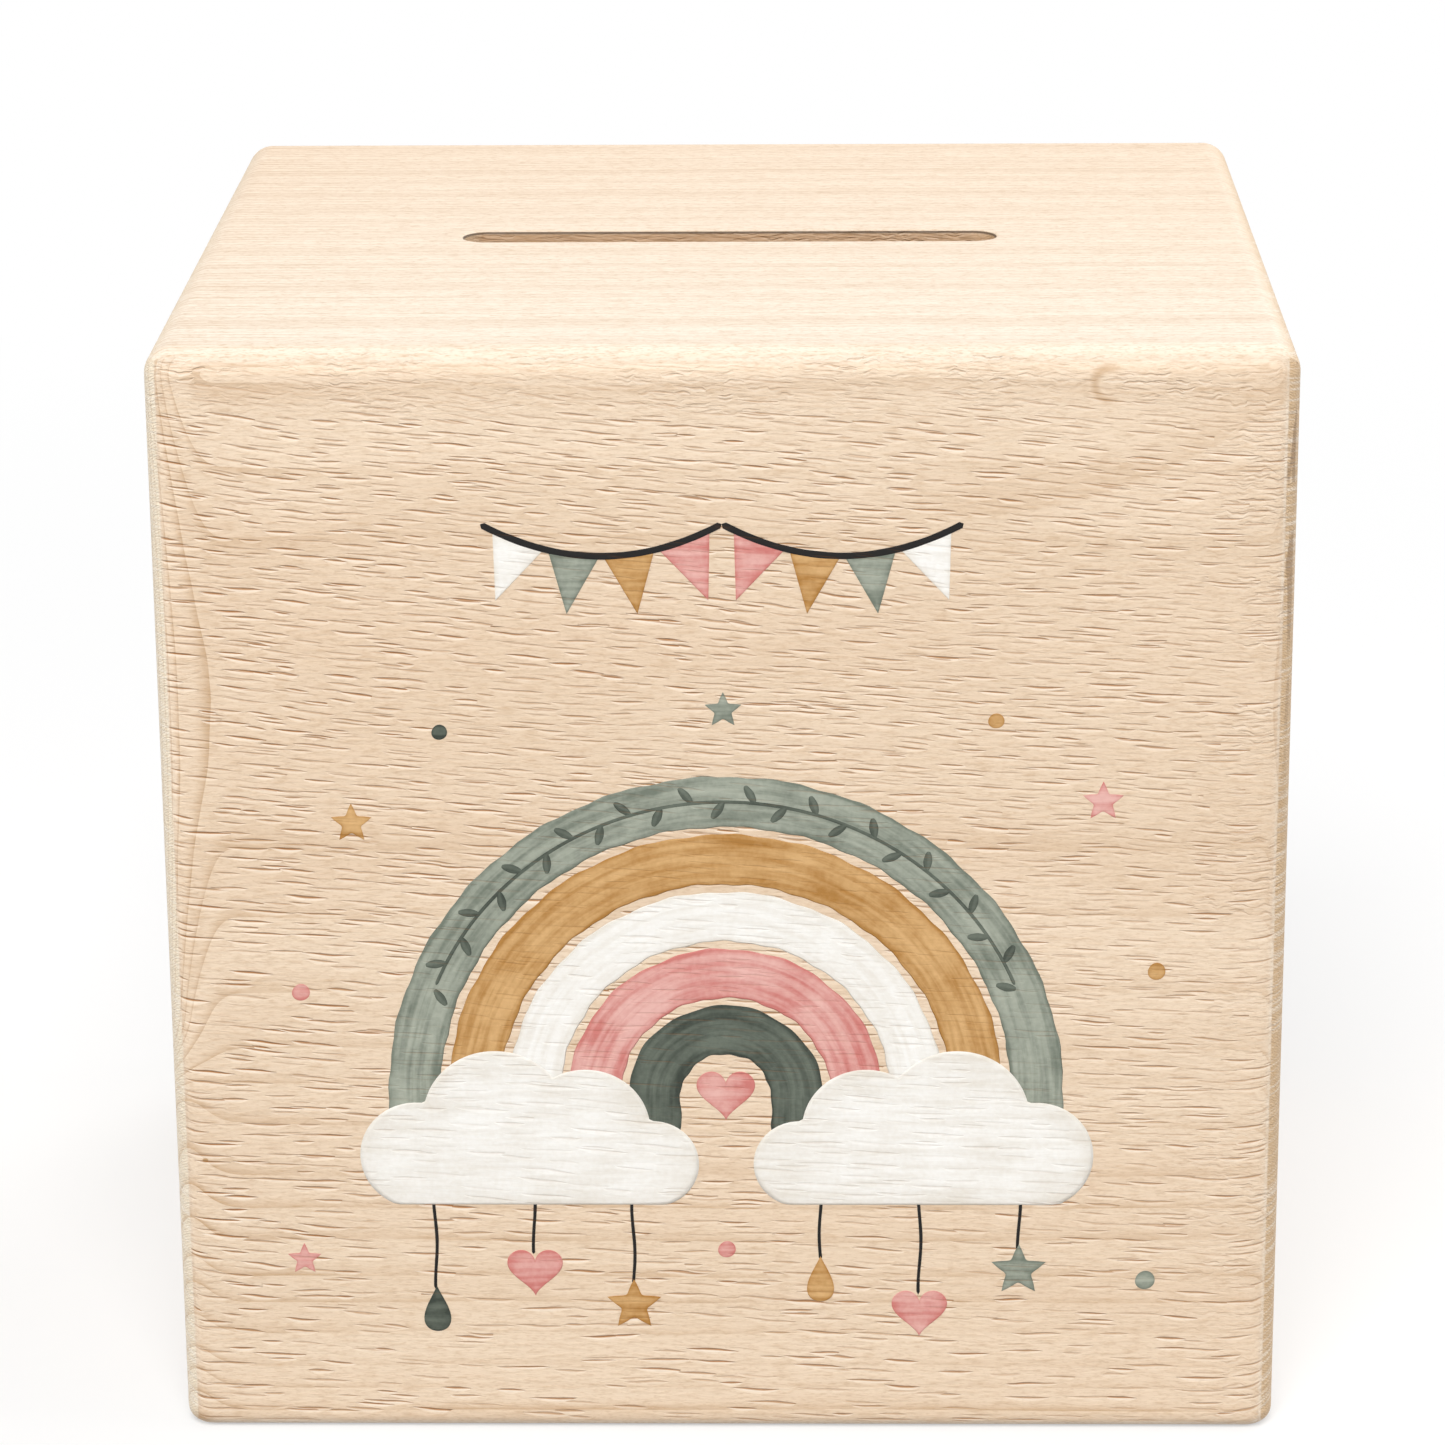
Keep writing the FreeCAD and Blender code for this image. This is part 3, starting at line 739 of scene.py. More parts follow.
    def material(self) -> bpy.types.Material:
        """Makes the finish: satin oil over the grain, duller in the flecks.

        Returns:
            The material.
        """
        graph = Graph(self.name)
        grain = self.grain(graph)
        bump = graph.add("Bump", named={"Distance": MM, "Strength": 1.0, "Height": grain.height})
        rough = graph.add("MapRange", grain.fleck, *self.roughness)
        colour = self.colour(grain)
        return graph.finish(Base_Color=colour, Roughness=rough, Normal=bump, IOR=1.5, Specular_IOR_Level=0.35)


@dataclass(frozen=True)
class SlottedBeech(Beech):
    """Beech with a routed slot: shade is painted brown on its walls and as a dark shadow line round its rim.
    """

    slot_half: Pair = (25.0, 2.2)  # mm, half the slot's length and width
    # painted shade on the slot's walls
    slot_shade: str = "#B98C5A"
    slot_shade_fade: float = 0.2  # mm out from the walls over which the painted shade ends
    slot_shade_strength: float = 0.5
    # painted shadow line round the slot's rim
    rim_shadow: str = "#4A3520"
    rim_shadow_out: float = 0.1  # mm out from the walls to the middle of the dark line
    rim_shadow_line: Curve = (0.11, 0.03, 0.0, 0.9)  # mm from there, to its strength

    def colour(self, grain: Grain) -> Part:
        """Colours the wood, and paints shade on the slot's walls and a shadow line round its rim, by the
        distance from the slot's middle line.

        Args:
            grain: The wood's pattern.

        Returns:
            The colour.
        """
        add = grain.log.graph.add
        length, width = self.slot_half
        away = add("VectorMath ABSOLUTE", grain.log.place)
        past = add("VectorMath SUBTRACT", away, (length - width, 0.0, 0.0))
        beyond = add("VectorMath MAXIMUM", past, (0.0, 0.0, 0.0))
        off = add("VectorMath LENGTH", add("VectorMath MULTIPLY", beyond, (1.0, 1.0, 0.0)))
        wall = add("MapRange SMOOTHSTEP", off, width + self.slot_shade_fade, width, 0.0, self.slot_shade_strength)
        astray = add("Math ABSOLUTE", add("Math SUBTRACT", off, width + self.rim_shadow_out))
        edge = add("MapRange SMOOTHSTEP", astray, *self.rim_shadow_line)
        slot_shaded = add("Mix RGBA", wall, super().colour(grain), self.slot_shade)
        return add("Mix RGBA", edge, slot_shaded, self.rim_shadow)


@dataclass(frozen=True)
class Rubber:
    """Moulded black rubber: soft sheen, a faint pebble from the mould and a paler bloom."""

    name: str = "moulded_rubber"
    body: str = "#1B1B1D"
    bloom: str = "#2E2E31"
    cloud: float = 6.0  # mm, patches of bloom
    blooming: Curve = (0.4, 0.7)
    pebble: float = 0.35  # mm
    relief: Pair = (0.03, 0.6)  # mm, height of the pebble, and its strength
    roughness: Curve = (0.3, 0.7, 0.5, 0.72)

    def material(self) -> bpy.types.Material:
        """Makes the finish.

        Returns:
            The material.
        """
        graph = Graph(self.name)
        place = graph.millimetres()
        cloud = graph.add("TexNoise 3D", place, named={"Scale": 1 / self.cloud, "Detail": 3.0})
        pebble = graph.add("TexNoise 3D", place, named={"Scale": 1 / self.pebble, "Detail": 1.0})
        colour = graph.add("Mix RGBA", graph.add("MapRange", cloud, *self.blooming), self.body, self.bloom)
        height, strength = self.relief
        bump = graph.add("Bump", named={"Distance": height * MM, "Strength": strength, "Height": pebble})
        rough = graph.add("MapRange", cloud, *self.roughness)
        return graph.finish(Base_Color=colour, Roughness=rough, Normal=bump)


@dataclass(frozen=True)
class DrawnSteel:
    """Bright drawn steel wire: grey metal with spots of dull oxide."""

    name: str = "drawn_steel"
    body: str = "#A9A9AB"
    oxide: str = "#6F6A64"
    spot: float = 0.8  # mm
    dulling: Curve = (0.5, 0.7)
    roughness: Curve = (0.4, 0.7, 0.3, 0.6)

    def material(self) -> bpy.types.Material:
        """Makes the finish.

        Returns:
            The material.
        """
        graph = Graph(self.name)
        spots = graph.add("TexNoise 3D", graph.millimetres(), named={"Scale": 1 / self.spot, "Detail": 4.0})
        colour = graph.add("Mix RGBA", graph.add("MapRange", spots, *self.dulling), self.body, self.oxide)
        rough = graph.add("MapRange", spots, *self.roughness)
        return graph.finish(Base_Color=colour, Roughness=rough, Metallic=1.0)


@dataclass(frozen=True)
class Ink:
    """Matt ink, printed on the bare board in the manner of a wash.

    The board's relief and its darkest flecks show through it, brush streaks run along each stroke, and
    pigment gathers at the rims.
    """

    name: str
    light: str
    deep: str
    streaks: float = 0.55  # share of the deep tone in the brush streaks
    pooling: float = 0.5  # share of the deep tone at the rims
    show_through: float = 0.15  # share of the wood's flecks that shows
    brush: Pair = (9.0, 0.7)  # mm, length and width of the brush streaks
    sweeping: Curve = (0.38, 0.68)  # noise, to those streaks
    bloom: float = 5.0  # mm, soft clouds in the wash
    blooming: Curve = (0.4, 0.7)  # noise, to those clouds
    speck: float = 0.4  # mm
    mottle: Curve = (0.3, 0.7, -0.1, 0.1)  # noise, to the tint of the specks
    rim_power: float = 5.0  # the greater, the narrower the rims
    relief: float = 0.4  # share of the wood's relief that shows

    def material(self, ground: Beech) -> bpy.types.Material:
        """Makes the finish over a board's grain.

        Args:
            ground: The wood under the print.

        Returns:
            The material.
        """
        graph = Graph(self.name)
        add = graph.add
        grain = ground.grain(graph)
        flow = add("Attribute", attribute_name=FLOW).outputs["Vector"]
        strokes = add("VectorMath MULTIPLY", flow, (*(1 / size for size in self.brush), 0.0))
        brush = add("TexNoise 2D", strokes, named={"Scale": 1.0, "Detail": 3.0})
        place = graph.millimetres()
        bloom = add("TexNoise 3D", place, named={"Scale": 1 / self.bloom, "Detail": 3.0})
        speck = add("TexNoise 3D", place, named={"Scale": 1 / self.speck, "Detail": 1.0})
        rim = add("Math POWER", add("SeparateXYZ", flow).outputs[2], self.rim_power)
        swept = add("MapRange", brush, *self.sweeping, 0.0, self.streaks)
        clouded = add("Math ADD", swept, add("MapRange", bloom, *self.blooming, 0.0, self.streaks))
        wash = add("Math MULTIPLY_ADD", rim, self.pooling, clouded)
        mottled = add("Math ADD", wash, add("MapRange", speck, *self.mottle))
        shown = add("Math MULTIPLY", grain.fleck, self.show_through)
        colour = add("Mix RGBA", shown, add("Mix RGBA", mottled, self.light, self.deep), ground.dark)
        bump = add("Bump", named={"Distance": MM, "Strength": self.relief, "Height": grain.height})
        return graph.finish(Base_Color=colour, Roughness=0.62, Normal=bump, IOR=1.48, Specular_IOR_Level=0.3)


class Pigment(Enum):
    """The inks of the print."""

    WHITE = Ink("white_ink", "#FFFDF8", "#E9E2D6", streaks=0.35)
    OCHRE = Ink("ochre_ink", "#DDB27A", "#B27F3F")
    PINK = Ink("pink_ink", "#EDBBB2", "#D27F78")
    SAGE = Ink("sage_ink", "#AEB3A4", "#757D70")
    SLATE = Ink("slate_ink", "#6C7468", "#3A4139")
    BLACK = Ink("black_ink", "#1A1817", "#0E0D0D", streaks=0.3, show_through=0.08)


@dataclass
class Shell:
    """A thin closed film of ink: loops of points between two poles, in millimetres."""

    points: np.ndarray
    flow: np.ndarray
    faces: list[list[int]]

    @classmethod
    def between(
        cls, loops: np.ndarray, flow: np.ndarray, poles: np.ndarray, pole_flow: np.ndarray
    ) -> "Shell":
        """Closes a stack of loops with a pole at each end, and turns its faces outwards.

        Args:
            loops: Points by loop, by place in the loop, by axis.
            flow: Way along the stroke, way across it and nearness to the rim, in the same order.
            poles: The two poles.
            pole_flow: The same three values at the poles.

        Returns:
            The film.
        """
        count, around = loops.shape[:2]
        index = np.arange(count * around).reshape(count, around) + 1
        ahead = np.roll(index, -1, axis=1)
        first = np.zeros(around, dtype=int)
        last = first + count * around + 1
        sides = np.stack([index[:-1], ahead[:-1], ahead[1:], index[1:]], axis=-1).reshape(-1, 4)
        caps = np.concatenate([np.stack([first, ahead[0], index[0]], axis=-1),
                               np.stack([last, index[-1], ahead[-1]], axis=-1)])
        points = np.concatenate([poles[:1], loops.reshape(-1, 3), poles[1:]])
        triangles = np.concatenate([sides[:, :3], sides[:, [0, 2, 3]], caps])
        corners = (points - points.mean(axis=0))[triangles]
        volume = np.einsum("ij,ij->", corners[:, 0], np.cross(corners[:, 1], corners[:, 2]))
        turn = 1 if volume > 0 else -1
        faces = sides[:, ::turn].tolist() + caps[:, ::turn].tolist()
        return cls(points, np.concatenate([pole_flow[:1], flow.reshape(-1, 3), pole_flow[1:]]), faces)


class Motif(Enum):
    """Small shapes of the print."""

    HEART = "heart"
    STAR = "star"
    DROP = "drop"
    DOT = "dot"

    def outline(self, at: Pair, size: float, points: int = 90) -> np.ndarray:
        """The shape's edge round its middle.

        The heart is the usual sum of four cosines over the cube of a sine. The star's radius falls from each
        tip with a power of a sine. The drop is a circle drawn in at its top by a power of half its angle's
        sine. The dot is a circle with a slight wobble.

        Args:
            at: The middle's place across and up, in millimetres.
            size: Half the height in millimetres.
            points: How many points to give.

        Returns:
            The points across and up.
        """
        turn = np.linspace(0, 2 * np.pi, points, endpoint=False)
        cosine, sine = circle(turn).T
        across, up, radius = sine, cosine, np.ones(points)
        if self is Motif.HEART:
            across = 16 * sine**3 / 14.5
            waves = 13 * cosine - 5 * np.cos(2 * turn) - 2 * np.cos(3 * turn) - np.cos(4 * turn)
            up = (waves + 2.5) / 14.5
        elif self is Motif.STAR:
            radius = 1 - 0.52 * np.abs(np.sin(2.5 * turn)) ** 0.8
        elif self is Motif.DROP:
            across = 0.78 * sine * np.sin(turn / 2) ** 1.6
        else:
            radius = 1 + 0.03 * np.sin(2 * turn + at[0]) + 0.015 * np.cos(3 * turn)
        return np.array(at) + size * np.stack([radius * across, radius * up], axis=1)


@dataclass(frozen=True)
class Pendant:
    """One hanging shape under a cloud: where its string hangs, how long it is and what it holds."""

    across: float
    length: float
    motif: Motif
    pigment: Pigment
    size: float


@dataclass
class Print:
    """A nursery print on the front board: a rainbow on two clouds, pendants under it and bunting over it.

    All places are across and up on the front, in millimetres.
    """

    ground: Beech
    lift: float = 0.03  # film above the wood
    sink: float = 0.03  # film in the wood
    layer: float = 0.02  # one film over another
    squareness: float = 0.3  # the less, the squarer the film's edge
    around: int = 20  # points round a stroke
    points: int = 90  # points along a cord, a stem or a flag's edge
    wobbles: tuple[Pair, Pair] = ((0.03, 0.9), (0.02, 2.3))  # share of a stroke's width, and radians per mm
    middle: Pair = (0.0, 33.0)
    bands: tuple[tuple[float, Pigment], ...] = (
        (28.0, Pigment.SAGE),
        (22.6, Pigment.OCHRE),
        (17.2, Pigment.WHITE),
        (11.8, Pigment.PINK),
        (6.4, Pigment.SLATE),
    )
    band_half: float = 2.35
    leg: float = 5.0
    arch_points: tuple[int, int] = (120, 12)  # on the half circle and on each leg
    sprig_turns: Pair = (0.12, 0.88)  # half turns over which the sprig runs
    sprig_count: int = 25
    leaf: Triple = (1.92, 0.42, 0.6)  # length, half width, slant in radians
    leaf_points: int = 24
    leaf_point: float = 3.0  # length of a leaf's pointed end, in half widths
    stem_half: float = 0.16
    cloud_at: Pair = (17.6, 27.0)
    cloud_lobes: tuple[Triple, ...] = (  # place and radius of each lobe
        (-11.0, -0.6, 4.2), (-5.0, 2.8, 5.8), (3.2, 3.8, 6.6), (10.4, 0.2, 5.2), (0.0, -1.0, 5.0))
    cloud_base: float = 4.6
    cloud_points: int = 240
    string_half: float = 0.15
    string_points: int = 30
    string_tuck: float = 0.6  # what the cloud hides of a string
    string_bow: Pair = (0.12, 0.7)  # how far it bows, and radians for each millimetre
    hang: float = 0.55  # sizes of a pendant from the string's end to its middle
    pendants: tuple[Pendant, ...] = (
        Pendant(8.5, 6.0, Motif.DROP, Pigment.OCHRE, 2.3),
        Pendant(17.5, 9.5, Motif.HEART, Pigment.PINK, 2.3),
        Pendant(26.5, 5.0, Motif.STAR, Pigment.SAGE, 2.6),
        Pendant(-8.5, 8.5, Motif.STAR, Pigment.OCHRE, 2.6),
        Pendant(-17.5, 5.5, Motif.HEART, Pigment.PINK, 2.3),
        Pendant(-26.5, 9.0, Motif.DROP, Pigment.SLATE, 2.3),
    )
    bunting_ends: Triple = (-21.0, 0.0, 21.0)
    bunting_top: float = 86.5
    bunting_sag: float = 2.9
    cord_half: float = 0.3
    flags: tuple[Pigment, ...] = (Pigment.PINK, Pigment.OCHRE, Pigment.SAGE, Pigment.WHITE)
    flag: Pair = (4.4, 5.4)  # width, drop
    flag_span: float = 0.69  # share of a swag from its middle to its last flag
    sprinkles: tuple[tuple[float, float, Motif, Pigment, float], ...] = (
        (-33.0, 59.0, Motif.STAR, Pigment.OCHRE, 1.9),
        (33.5, 61.0, Motif.STAR, Pigment.PINK, 1.9),
        (0.0, 69.5, Motif.STAR, Pigment.SAGE, 1.7),
        (-38.0, 43.0, Motif.DOT, Pigment.PINK, 0.8),
        (38.5, 45.0, Motif.DOT, Pigment.OCHRE, 0.8),
        (-25.0, 67.5, Motif.DOT, Pigment.SLATE, 0.7),
        (24.0, 68.5, Motif.DOT, Pigment.OCHRE, 0.7),
        (-38.5, 17.0, Motif.STAR, Pigment.PINK, 1.6),
        (38.0, 15.0, Motif.DOT, Pigment.SAGE, 0.9),
        (0.0, 18.0, Motif.DOT, Pigment.PINK, 0.8),
        (0.0, 33.0, Motif.HEART, Pigment.PINK, 2.4),
    )

    def __post_init__(self) -> None:
        """Finds the board's face and makes the inks."""
        self.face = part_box("front_board")[0][1] / MM
        self.inks = {pigment: pigment.value.material(self.ground) for pigment in Pigment}

    def depth(self, sine: np.ndarray, layer: int) -> np.ndarray:
        """A film's depth: off the board's face by a low power of a sine, and into the wood below 0."""
        rise = np.abs(sine) ** self.squareness
        return self.face - np.where(sine >= 0, rise * (self.lift + layer * self.layer), -rise * self.sink)

    def upright(self, flat: np.ndarray, depth: np.ndarray | float) -> np.ndarray:
        """Points on the front from their places across and up and their depth."""
        return np.stack([flat[..., 0], np.broadcast_to(depth, flat.shape[:-1]), flat[..., 1]], axis=-1)

    def stroke(self, path: np.ndarray, half: float, layer: int = 0, blunt: float = 1.0) -> Shell:
        """A brush stroke: a flat oval section carried along a path, whose ends round off as a circle does.

        Args:
            path: Points across and up.
            half: Half the stroke's width.
            layer: How many films lie under it.
            blunt: Length of each rounded end, in half widths.

        Returns:
            The film.
        """
        way = np.concatenate([[0.0], np.cumsum(np.linalg.norm(np.diff(path, axis=0), axis=1))])
        from_end = np.clip(np.minimum(way, way[-1] - way) / (blunt * half), 0, 1)
        (slow, slow_rate), (quick, quick_rate) = self.wobbles
        wobble = 1 + slow * np.sin(way * slow_rate + path[0, 0]) + quick * np.sin(way * quick_rate)
        width = half * wobble * np.sqrt(1 - (1 - from_end) ** 2)
        tangent = np.gradient(path, way, axis=0)
        tangent /= np.linalg.norm(tangent, axis=1, keepdims=True)
        normal = np.stack([-tangent[:, 1], tangent[:, 0]], axis=1)
        across, up = circle(np.linspace(0, 2 * np.pi, self.around, endpoint=False)).T
        inner = slice(1, -1)
        offset = width[inner, None] * across
        flat = path[inner, None] + normal[inner, None] * offset[..., None]
        return Shell.between(
            self.upright(flat, self.depth(up, layer)),
            np.stack(np.broadcast_arrays(way[inner, None], offset, np.abs(across)), axis=-1),
            self.upright(path[[0, -1]], self.face),
            np.array([[0.0, 0.0, 1.0], [way[-1], 0.0, 1.0]]),
        )

    def patch(self, outline: np.ndarray, layer: int = 1, loops: int = 16) -> Shell:
        """A filled shape: its outline drawn in towards its middle by a sine, over the front and again behind.

        Args:
            outline: Points across and up round the shape, all in sight of their mean.
            layer: How many films lie under it.
            loops: Number of loops from the front's middle to the back's.

        Returns:
            The film.
        """
        middle = outline.mean(axis=0)
        turn = np.linspace(0, np.pi, loops + 2)
        share = np.sin(turn)[1:-1]
        depth = self.depth(np.cos(turn), layer)
        flat = middle + share[:, None, None] * (outline - middle)
        return Shell.between(
            self.upright(flat, depth[1:-1, None]),
            np.stack(np.broadcast_arrays(flat[..., 0], flat[..., 1], share[:, None]), axis=-1),
            self.upright(np.stack([middle, middle]), depth[[0, -1]]),
            np.array([[*middle, 0.0], [*middle, 0.0]]),
        )

    def lay(self, name: str, pigment: Pigment, shells: list[Shell]) -> None:
        """Makes one piece of films of one ink.

        Args:
            name: The piece's name.
            pigment: Its ink.
            shells: Its films.
        """
        starts = np.cumsum([0] + [len(shell.points) for shell in shells])
        points = np.concatenate([shell.points for shell in shells]) * MM
        faces = [[corner + int(start) for corner in face]
                 for shell, start in zip(shells, starts) for face in shell.faces]
        mesh = bpy.data.meshes.new(name)
        mesh.from_pydata(points.tolist(), [], faces)
        flow = mesh.attributes.new(FLOW, "FLOAT_VECTOR", "POINT")
        flow.data.foreach_set("vector", np.concatenate([shell.flow for shell in shells]).ravel())
        mesh.polygons.foreach_set("use_smooth", np.ones(len(faces), dtype=bool))
        mesh.materials.append(self.inks[pigment])
        piece = bpy.data.objects.new(name, mesh)
        bpy.context.scene.collection.objects.link(piece)
        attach(piece, "box")
        LOG.info("%s: %d films of %s", name, len(shells), pigment.value.name)

    def lay_by_ink(self, name: str, films: list[tuple[Pigment, Shell]]) -> None:
        """Makes one piece for each ink among the films.

        Args:
            name: What the pieces' names start with.
            films: The films, each with its ink.
        """
        for pigment in dict.fromkeys(ink for ink, _ in films):
            shells = [shell for ink, shell in films if ink is pigment]
            self.lay(f"{name}_{pigment.name.lower()}", pigment, shells)

    def arch(self, radius: float) -> np.ndarray:
        """A half circle on two straight legs, as points across and up.

        Args:
            radius: The half circle's radius.

        Returns:
            The points from the left foot to the right one.
        """
        on_arch, on_leg = self.arch_points
        leg = np.linspace(-self.leg, 0, on_leg, endpoint=False)
        left = np.stack([np.full(on_leg, -radius), leg], axis=1)
        curve = radius * circle(np.linspace(np.pi, 0, on_arch))
        return np.concatenate([left, curve, left[::-1] * (-1, 1)]) + np.array(self.middle)

    def rainbow(self) -> None:
        """Lays the bands, and a sprig of slanted leaves along the widest."""
        bands = [(pigment, self.stroke(self.arch(radius), self.band_half)) for radius, pigment in self.bands]
        self.lay_by_ink("rainbow_band", bands)
        length, half_width, slant = self.leaf
        reach = np.linspace(0.0, length, self.leaf_points)[:, None]
        turns = np.pi * np.linspace(*self.sprig_turns, self.sprig_count)
        middle, radius = np.array(self.middle), self.bands[0][0]
        leaves = []
        for number, turn in enumerate(turns):
            out = circle(turn)
            side = 1 if number % 2 else -1
            way = np.cos(slant) * side * out + np.sin(slant) * circle(turn + np.pi / 2)
            leaves.append(self.stroke(middle + radius * out + way * reach, half_width, 1, self.leaf_point))
        stem = middle + radius * circle(np.linspace(turns[0], turns[-1], self.points))
        self.lay("rainbow_sprig", Pigment.SLATE, [*leaves, self.stroke(stem, self.stem_half, 1)])

    def cloud(self, side: int) -> np.ndarray:
        """A cloud's outline: the last crossing of each ray from its middle with the lobes, cut flat below.

        Args:
            side: 1 for the right cloud and -1 for the left one, which is its mirror image.

        Returns:
            The points across and up.
        """
        ray = circle(np.linspace(0, 2 * np.pi, self.cloud_points, endpoint=False))
        lobes = np.array(self.cloud_lobes)
        toward = ray @ lobes[:, :2].T
        inside = lobes[:, 2] ** 2 - (lobes[:, :2] ** 2).sum(axis=1) + toward**2
        reach = np.where(inside >= 0, toward + np.sqrt(np.maximum(inside, 0)), 0).max(axis=1)
        falls = ray[:, 1] < 0
        below = np.where(falls, self.cloud_base / np.maximum(-ray[:, 1], TINY), 1 / TINY)
        foot = ray[:, 0] * below
        on_base = (foot > lobes[:, 0].min()) & (foot < lobes[:, 0].max()) & falls
        outline = ray * np.where(on_base, below, np.minimum(reach, below))[:, None]
        return (outline + np.array(self.cloud_at)) * np.array([side, 1])

    def clouds(self) -> None:
        """Lays the two clouds over the rainbow's feet, and the strings and pendants under them."""
        self.lay("clouds", Pigment.WHITE, [self.patch(self.cloud(side), 2) for side in (1, -1)])
        top = self.cloud_at[1] - self.cloud_base
        bow, rate = self.string_bow
        strings = []
        hung = []
        for pendant in self.pendants:
            drop = np.linspace(0.0, pendant.length, self.string_points)
            across = pendant.across + bow * np.sin(drop * rate + pendant.across)
            path = np.stack([across, top + self.string_tuck - drop], axis=1)
            strings.append(self.stroke(path, self.string_half))
            place = (pendant.across, top - pendant.length - self.hang * pendant.size)
            hung.append((pendant.pigment, self.patch(pendant.motif.outline(place, pendant.size))))
        self.lay("pendant_strings", Pigment.BLACK, strings)
        self.lay_by_ink("pendants", hung)

    def bunting(self) -> None:
        """Lays a cord in two swags, each a parabola, with flags hung along it."""
        width, drop = self.flag
        corners = np.array([(-width / 2, 0.0), (width / 2, 0.0), (0.0, -drop), (-width / 2, 0.0)])
        edge = np.linspace(0, 3, self.points, endpoint=False)
        places = np.linspace(-self.flag_span, self.flag_span, len(self.flags))
        cords = []
        flags = []
        for number, (start, stop) in enumerate(zip(self.bunting_ends, self.bunting_ends[1:])):
            centre, half = (start + stop) / 2, (stop - start) / 2
            across = np.linspace(start, stop, self.points)
            sag = self.bunting_top - self.bunting_sag * (1 - ((across - centre) / half) ** 2)
            cords.append(self.stroke(np.stack([across, sag], axis=1), self.cord_half, 2))
            for place, pigment in zip(places, self.flags[:: 1 if number else -1]):
                top = self.bunting_top - self.bunting_sag * (1 - place**2)
                tilt = 2 * self.bunting_sag * place / half
                turned = corners @ np.array([[1.0, tilt], [-tilt, 1.0]])
                outline = np.stack([np.interp(edge, range(4), turned[:, i]) for i in (0, 1)], axis=1)
                flags.append((pigment, self.patch(outline + np.array([centre + place * half, top]))))
        self.lay("bunting_cord", Pigment.BLACK, cords)
        self.lay_by_ink("bunting_flags", flags)

    def scatter(self) -> None:
        """Lays the small stars, dots and the heart."""
        self.lay_by_ink("sprinkles", [
            (pigment, self.patch(motif.outline((across, up), size), 0))
            for across, up, motif, pigment, size in self.sprinkles])

    def build(self) -> None:
        """Lays the whole print."""
        self.rainbow()
        self.clouds()
        self.bunting()
        self.scatter()


@dataclass
class Carcass:
    """The glued boards of the box, what holds the base, and the stopper in it."""

    front: Beech = Beech(
        "beech_front", Axis.X, Axis.Z, Axis.Y, BLOCK_PITH, 150.0, curl_depth=4.5, twig=TWIG,
        pin_knot=PIN_KNOT, sweep=Sweep(), splinters=0.65, near_end="#F8EAD2")
    top: Beech = SlottedBeech(
        "beech_top", Axis.X, Axis.Z, Axis.Y, BLOCK_PITH, 150.0, twig=TWIG, far_end="#EED3AE",
        end_starts=(0.15, 0.95), brink=0.0)
    back: Beech = Beech("beech_back", Axis.X, Axis.Z, Axis.Y, BLOCK_PITH, 60.0)
    base: Beech = Beech("beech_base", Axis.X, Axis.Y, Axis.Z, (0.0, 20.0, 90.0), 80.0)
    left: Beech = Beech("beech_left", Axis.Y, Axis.Z, Axis.X, (60.0, 0.0, 30.0), 110.0)
    right: Beech = Beech("beech_right", Axis.Y, Axis.Z, Axis.X, (-70.0, 0.0, 62.0), 120.0)
    tongues: Beech = Beech("birch_tongue", Axis.X, Axis.Z, Axis.Y, BLOCK_PITH, 100.0)

    def dress(self) -> None:
        """Gives each board, each tongue, the pins and the stopper their finish."""
        tongue = self.tongues.material()
        for node, material in {
            "front_board": self.front.material(),
            "back_board": self.back.material(),
            "top_board": self.top.material(),
            "left_side_board": self.left.material(),
            "right_side_board": self.right.material(),
            "base_board": self.base.material(),
            "front_mitre_tongue": tongue,
            "back_mitre_tongue": tongue,
            "base_pins": DrawnSteel().material(),
            "stopper": Rubber().material(),
        }.items():
            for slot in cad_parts[node].material_slots:
                slot.material = material
            LOG.info("%s: %s", node, material.name)


@dataclass(frozen=True)
class Lamp:
    """A large soft lamp that faces the box: place and diameter in metres, power in watts."""

    name: str
    place: Triple
    size: float
    power: float


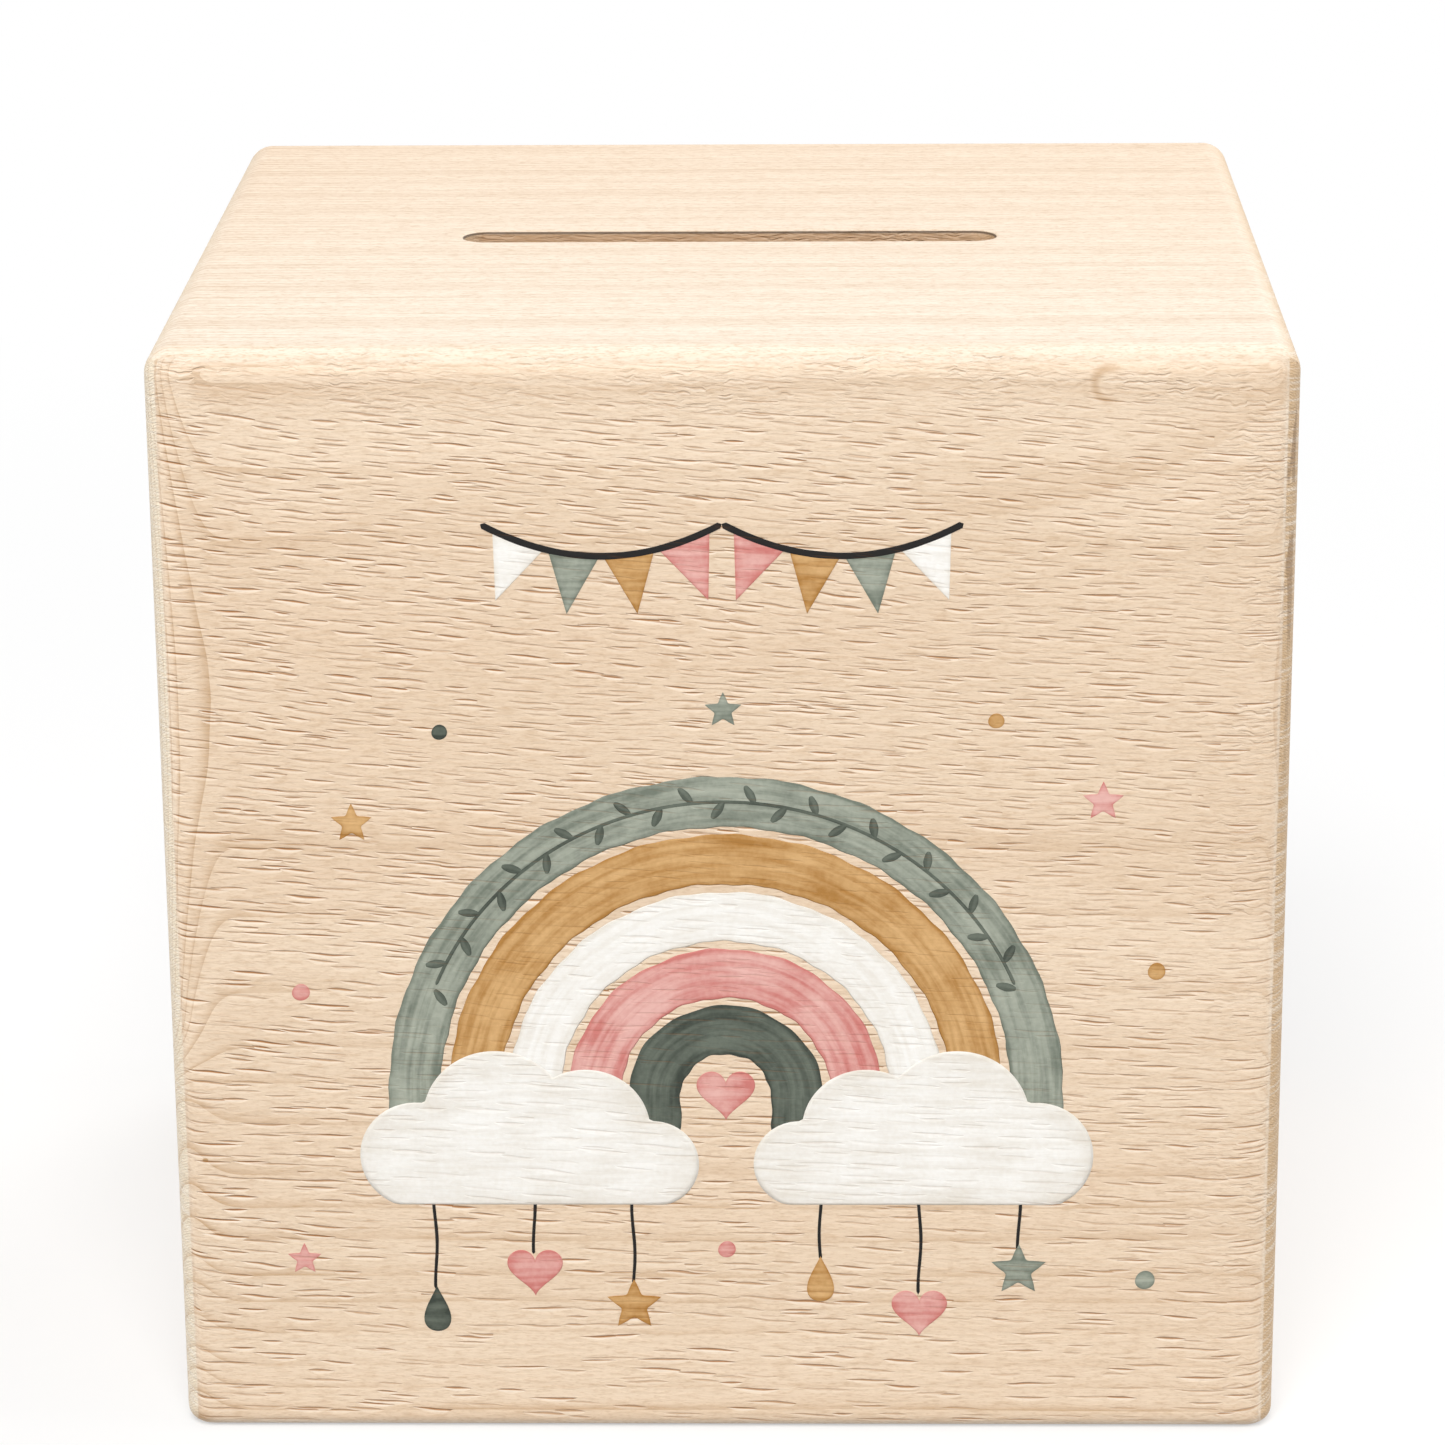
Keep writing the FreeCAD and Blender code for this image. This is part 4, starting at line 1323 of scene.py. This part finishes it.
@dataclass
class Studio:
    """Plain white floor, soft light and the camera at the photograph's viewing angle."""

    floor_half: float = 4.0  # metres
    foot_width: float = 0.0016  # metres of the box's rounded foot that the floor reaches under
    floor_white: str = "#F6F6F6"
    floor_dull: str = "#C6C6C6"
    shadow_fades: Curve = (0.12, 0.4)  # metres from the box's middle
    shadow_lift: float = 0.5  # share of the shadow that the white floor swallows
    sky: float = 0.4
    lamps: tuple[Lamp, ...] = (
        Lamp("key", (-0.06, -0.81, 1.12), 0.7, 12.7),
        Lamp("rear", (0.7, 0.95, 0.9), 0.9, 5.6),
        Lamp("left_fill", (-1.3, -0.4, 0.5), 0.8, 3.5),
        Lamp("right_fill", (1.3, -0.1, 0.5), 0.8, 3.2),
    )
    camera_place: Triple = (8.94, -470.25, 206.68)  # mm
    turn: float = 1.211  # degrees to the left of straight ahead
    tilt: float = 18.012  # degrees down
    roll: float = -0.433  # degrees
    image_width: float = 1445.0  # pixels
    focal_length: float = 5089.0  # pixels
    sensor: float = 36.0  # mm

    def build(self) -> None:
        """Makes the floor, the light and the camera."""
        self.floor()
        self.world()
        for lamp in self.lamps:
            self.hang(lamp)
        self.camera()
        bpy.context.scene.view_settings.view_transform = "Standard"

    def floor(self) -> None:
        """A wide white floor that keeps the object's shadow and throws little light back up at it.

        It is a square ring: it is open under the box, and from below it can be looked through, so that the
        box's underside can be seen.
        """
        turns = np.array([(-1, -1), (1, -1), (1, 1), (-1, 1)])
        inside = np.array(CAD_BOUNDS[1][:2]) - self.foot_width
        flat = np.concatenate([turns * self.floor_half, turns * inside])
        mesh = bpy.data.meshes.new("floor")
        faces = [(side, (side + 1) % 4, (side + 1) % 4 + 4, side + 4) for side in range(4)]
        mesh.from_pydata(np.pad(flat, ((0, 0), (0, 1))).tolist(), [], faces)
        floor = bpy.data.objects.new("floor", mesh)
        bpy.context.scene.collection.objects.link(floor)
        graph = Graph("white_floor")
        add = graph.add
        away = add("VectorMath LENGTH", add("TexCoord").outputs["Object"])
        glow = add("Emission", WHITE, 1.0)
        near = add("MixShader", self.shadow_lift, add("BsdfDiffuse", self.floor_white), glow)
        sweep = add("MixShader", add("MapRange SMOOTHSTEP", away, *self.shadow_fades), near, glow)
        upper = add("MixShader", self.seen(graph), add("BsdfDiffuse", self.floor_dull), sweep)
        below = add("NewGeometry").outputs["Backfacing"]
        add("OutputMaterial", add("MixShader", below, upper, add("BsdfTransparent")))
        mesh.materials.append(graph.owner)

    def seen(self, graph: Graph) -> bpy.types.Node:
        """Tells what the camera sees, straight, in a reflection or through glass, from other light.

        Args:
            graph: The material or world being made.

        Returns:
            1 for what it sees, and 0 for the rest.
        """
        path = graph.add("LightPath").outputs
        straight = graph.add("Math MAXIMUM", path["Is Camera Ray"], path["Is Glossy Ray"])
        return graph.add("Math MAXIMUM", straight, path["Is Transmission Ray"])

    def world(self) -> None:
        """Even white light from all round, and a white view past the floor."""
        world = bpy.data.worlds.new("studio")
        graph = Graph(world)
        strength = graph.add("MapRange", self.seen(graph), 0.0, 1.0, self.sky, 1.0)
        graph.add("OutputWorld", graph.add("Background", WHITE, strength))
        bpy.context.scene.world = world

    def hang(self, lamp: Lamp) -> None:
        """Hangs one lamp.

        Args:
            lamp: Its name, place, size and power.
        """
        light = bpy.data.lights.new(lamp.name, "AREA")
        light.shape = "DISK"
        light.size = lamp.size
        light.energy = lamp.power
        piece = bpy.data.objects.new(lamp.name, light)
        piece.location = lamp.place
        piece.rotation_euler = (-piece.location).to_track_quat("-Z", "Y").to_euler()
        bpy.context.scene.collection.objects.link(piece)

    def camera(self) -> None:
        """The camera that a fit of the box's outline gave."""
        data = bpy.data.cameras.new("camera")
        data.sensor_width = self.sensor
        data.lens = self.focal_length / self.image_width * self.sensor
        camera = bpy.data.objects.new("camera", data)
        turned = Matrix.Rotation(math.radians(self.turn), 4, "Z")
        tilted = Matrix.Rotation(math.radians(90 - self.tilt), 4, "X")
        rolled = Matrix.Rotation(math.radians(self.roll), 4, "Z")
        place = Matrix.Translation([length * MM for length in self.camera_place])
        camera.matrix_world = place @ turned @ tilted @ rolled
        bpy.context.scene.collection.objects.link(camera)
        bpy.context.scene.camera = camera


def main() -> None:
    """Sets up the studio, dresses the boards and prints the front."""
    logging.basicConfig(level=logging.INFO, format="%(message)s")
    Studio().build()
    carcass = Carcass()
    carcass.dress()
    Print(carcass.front).build()


if __name__ == "__main__":
    main()
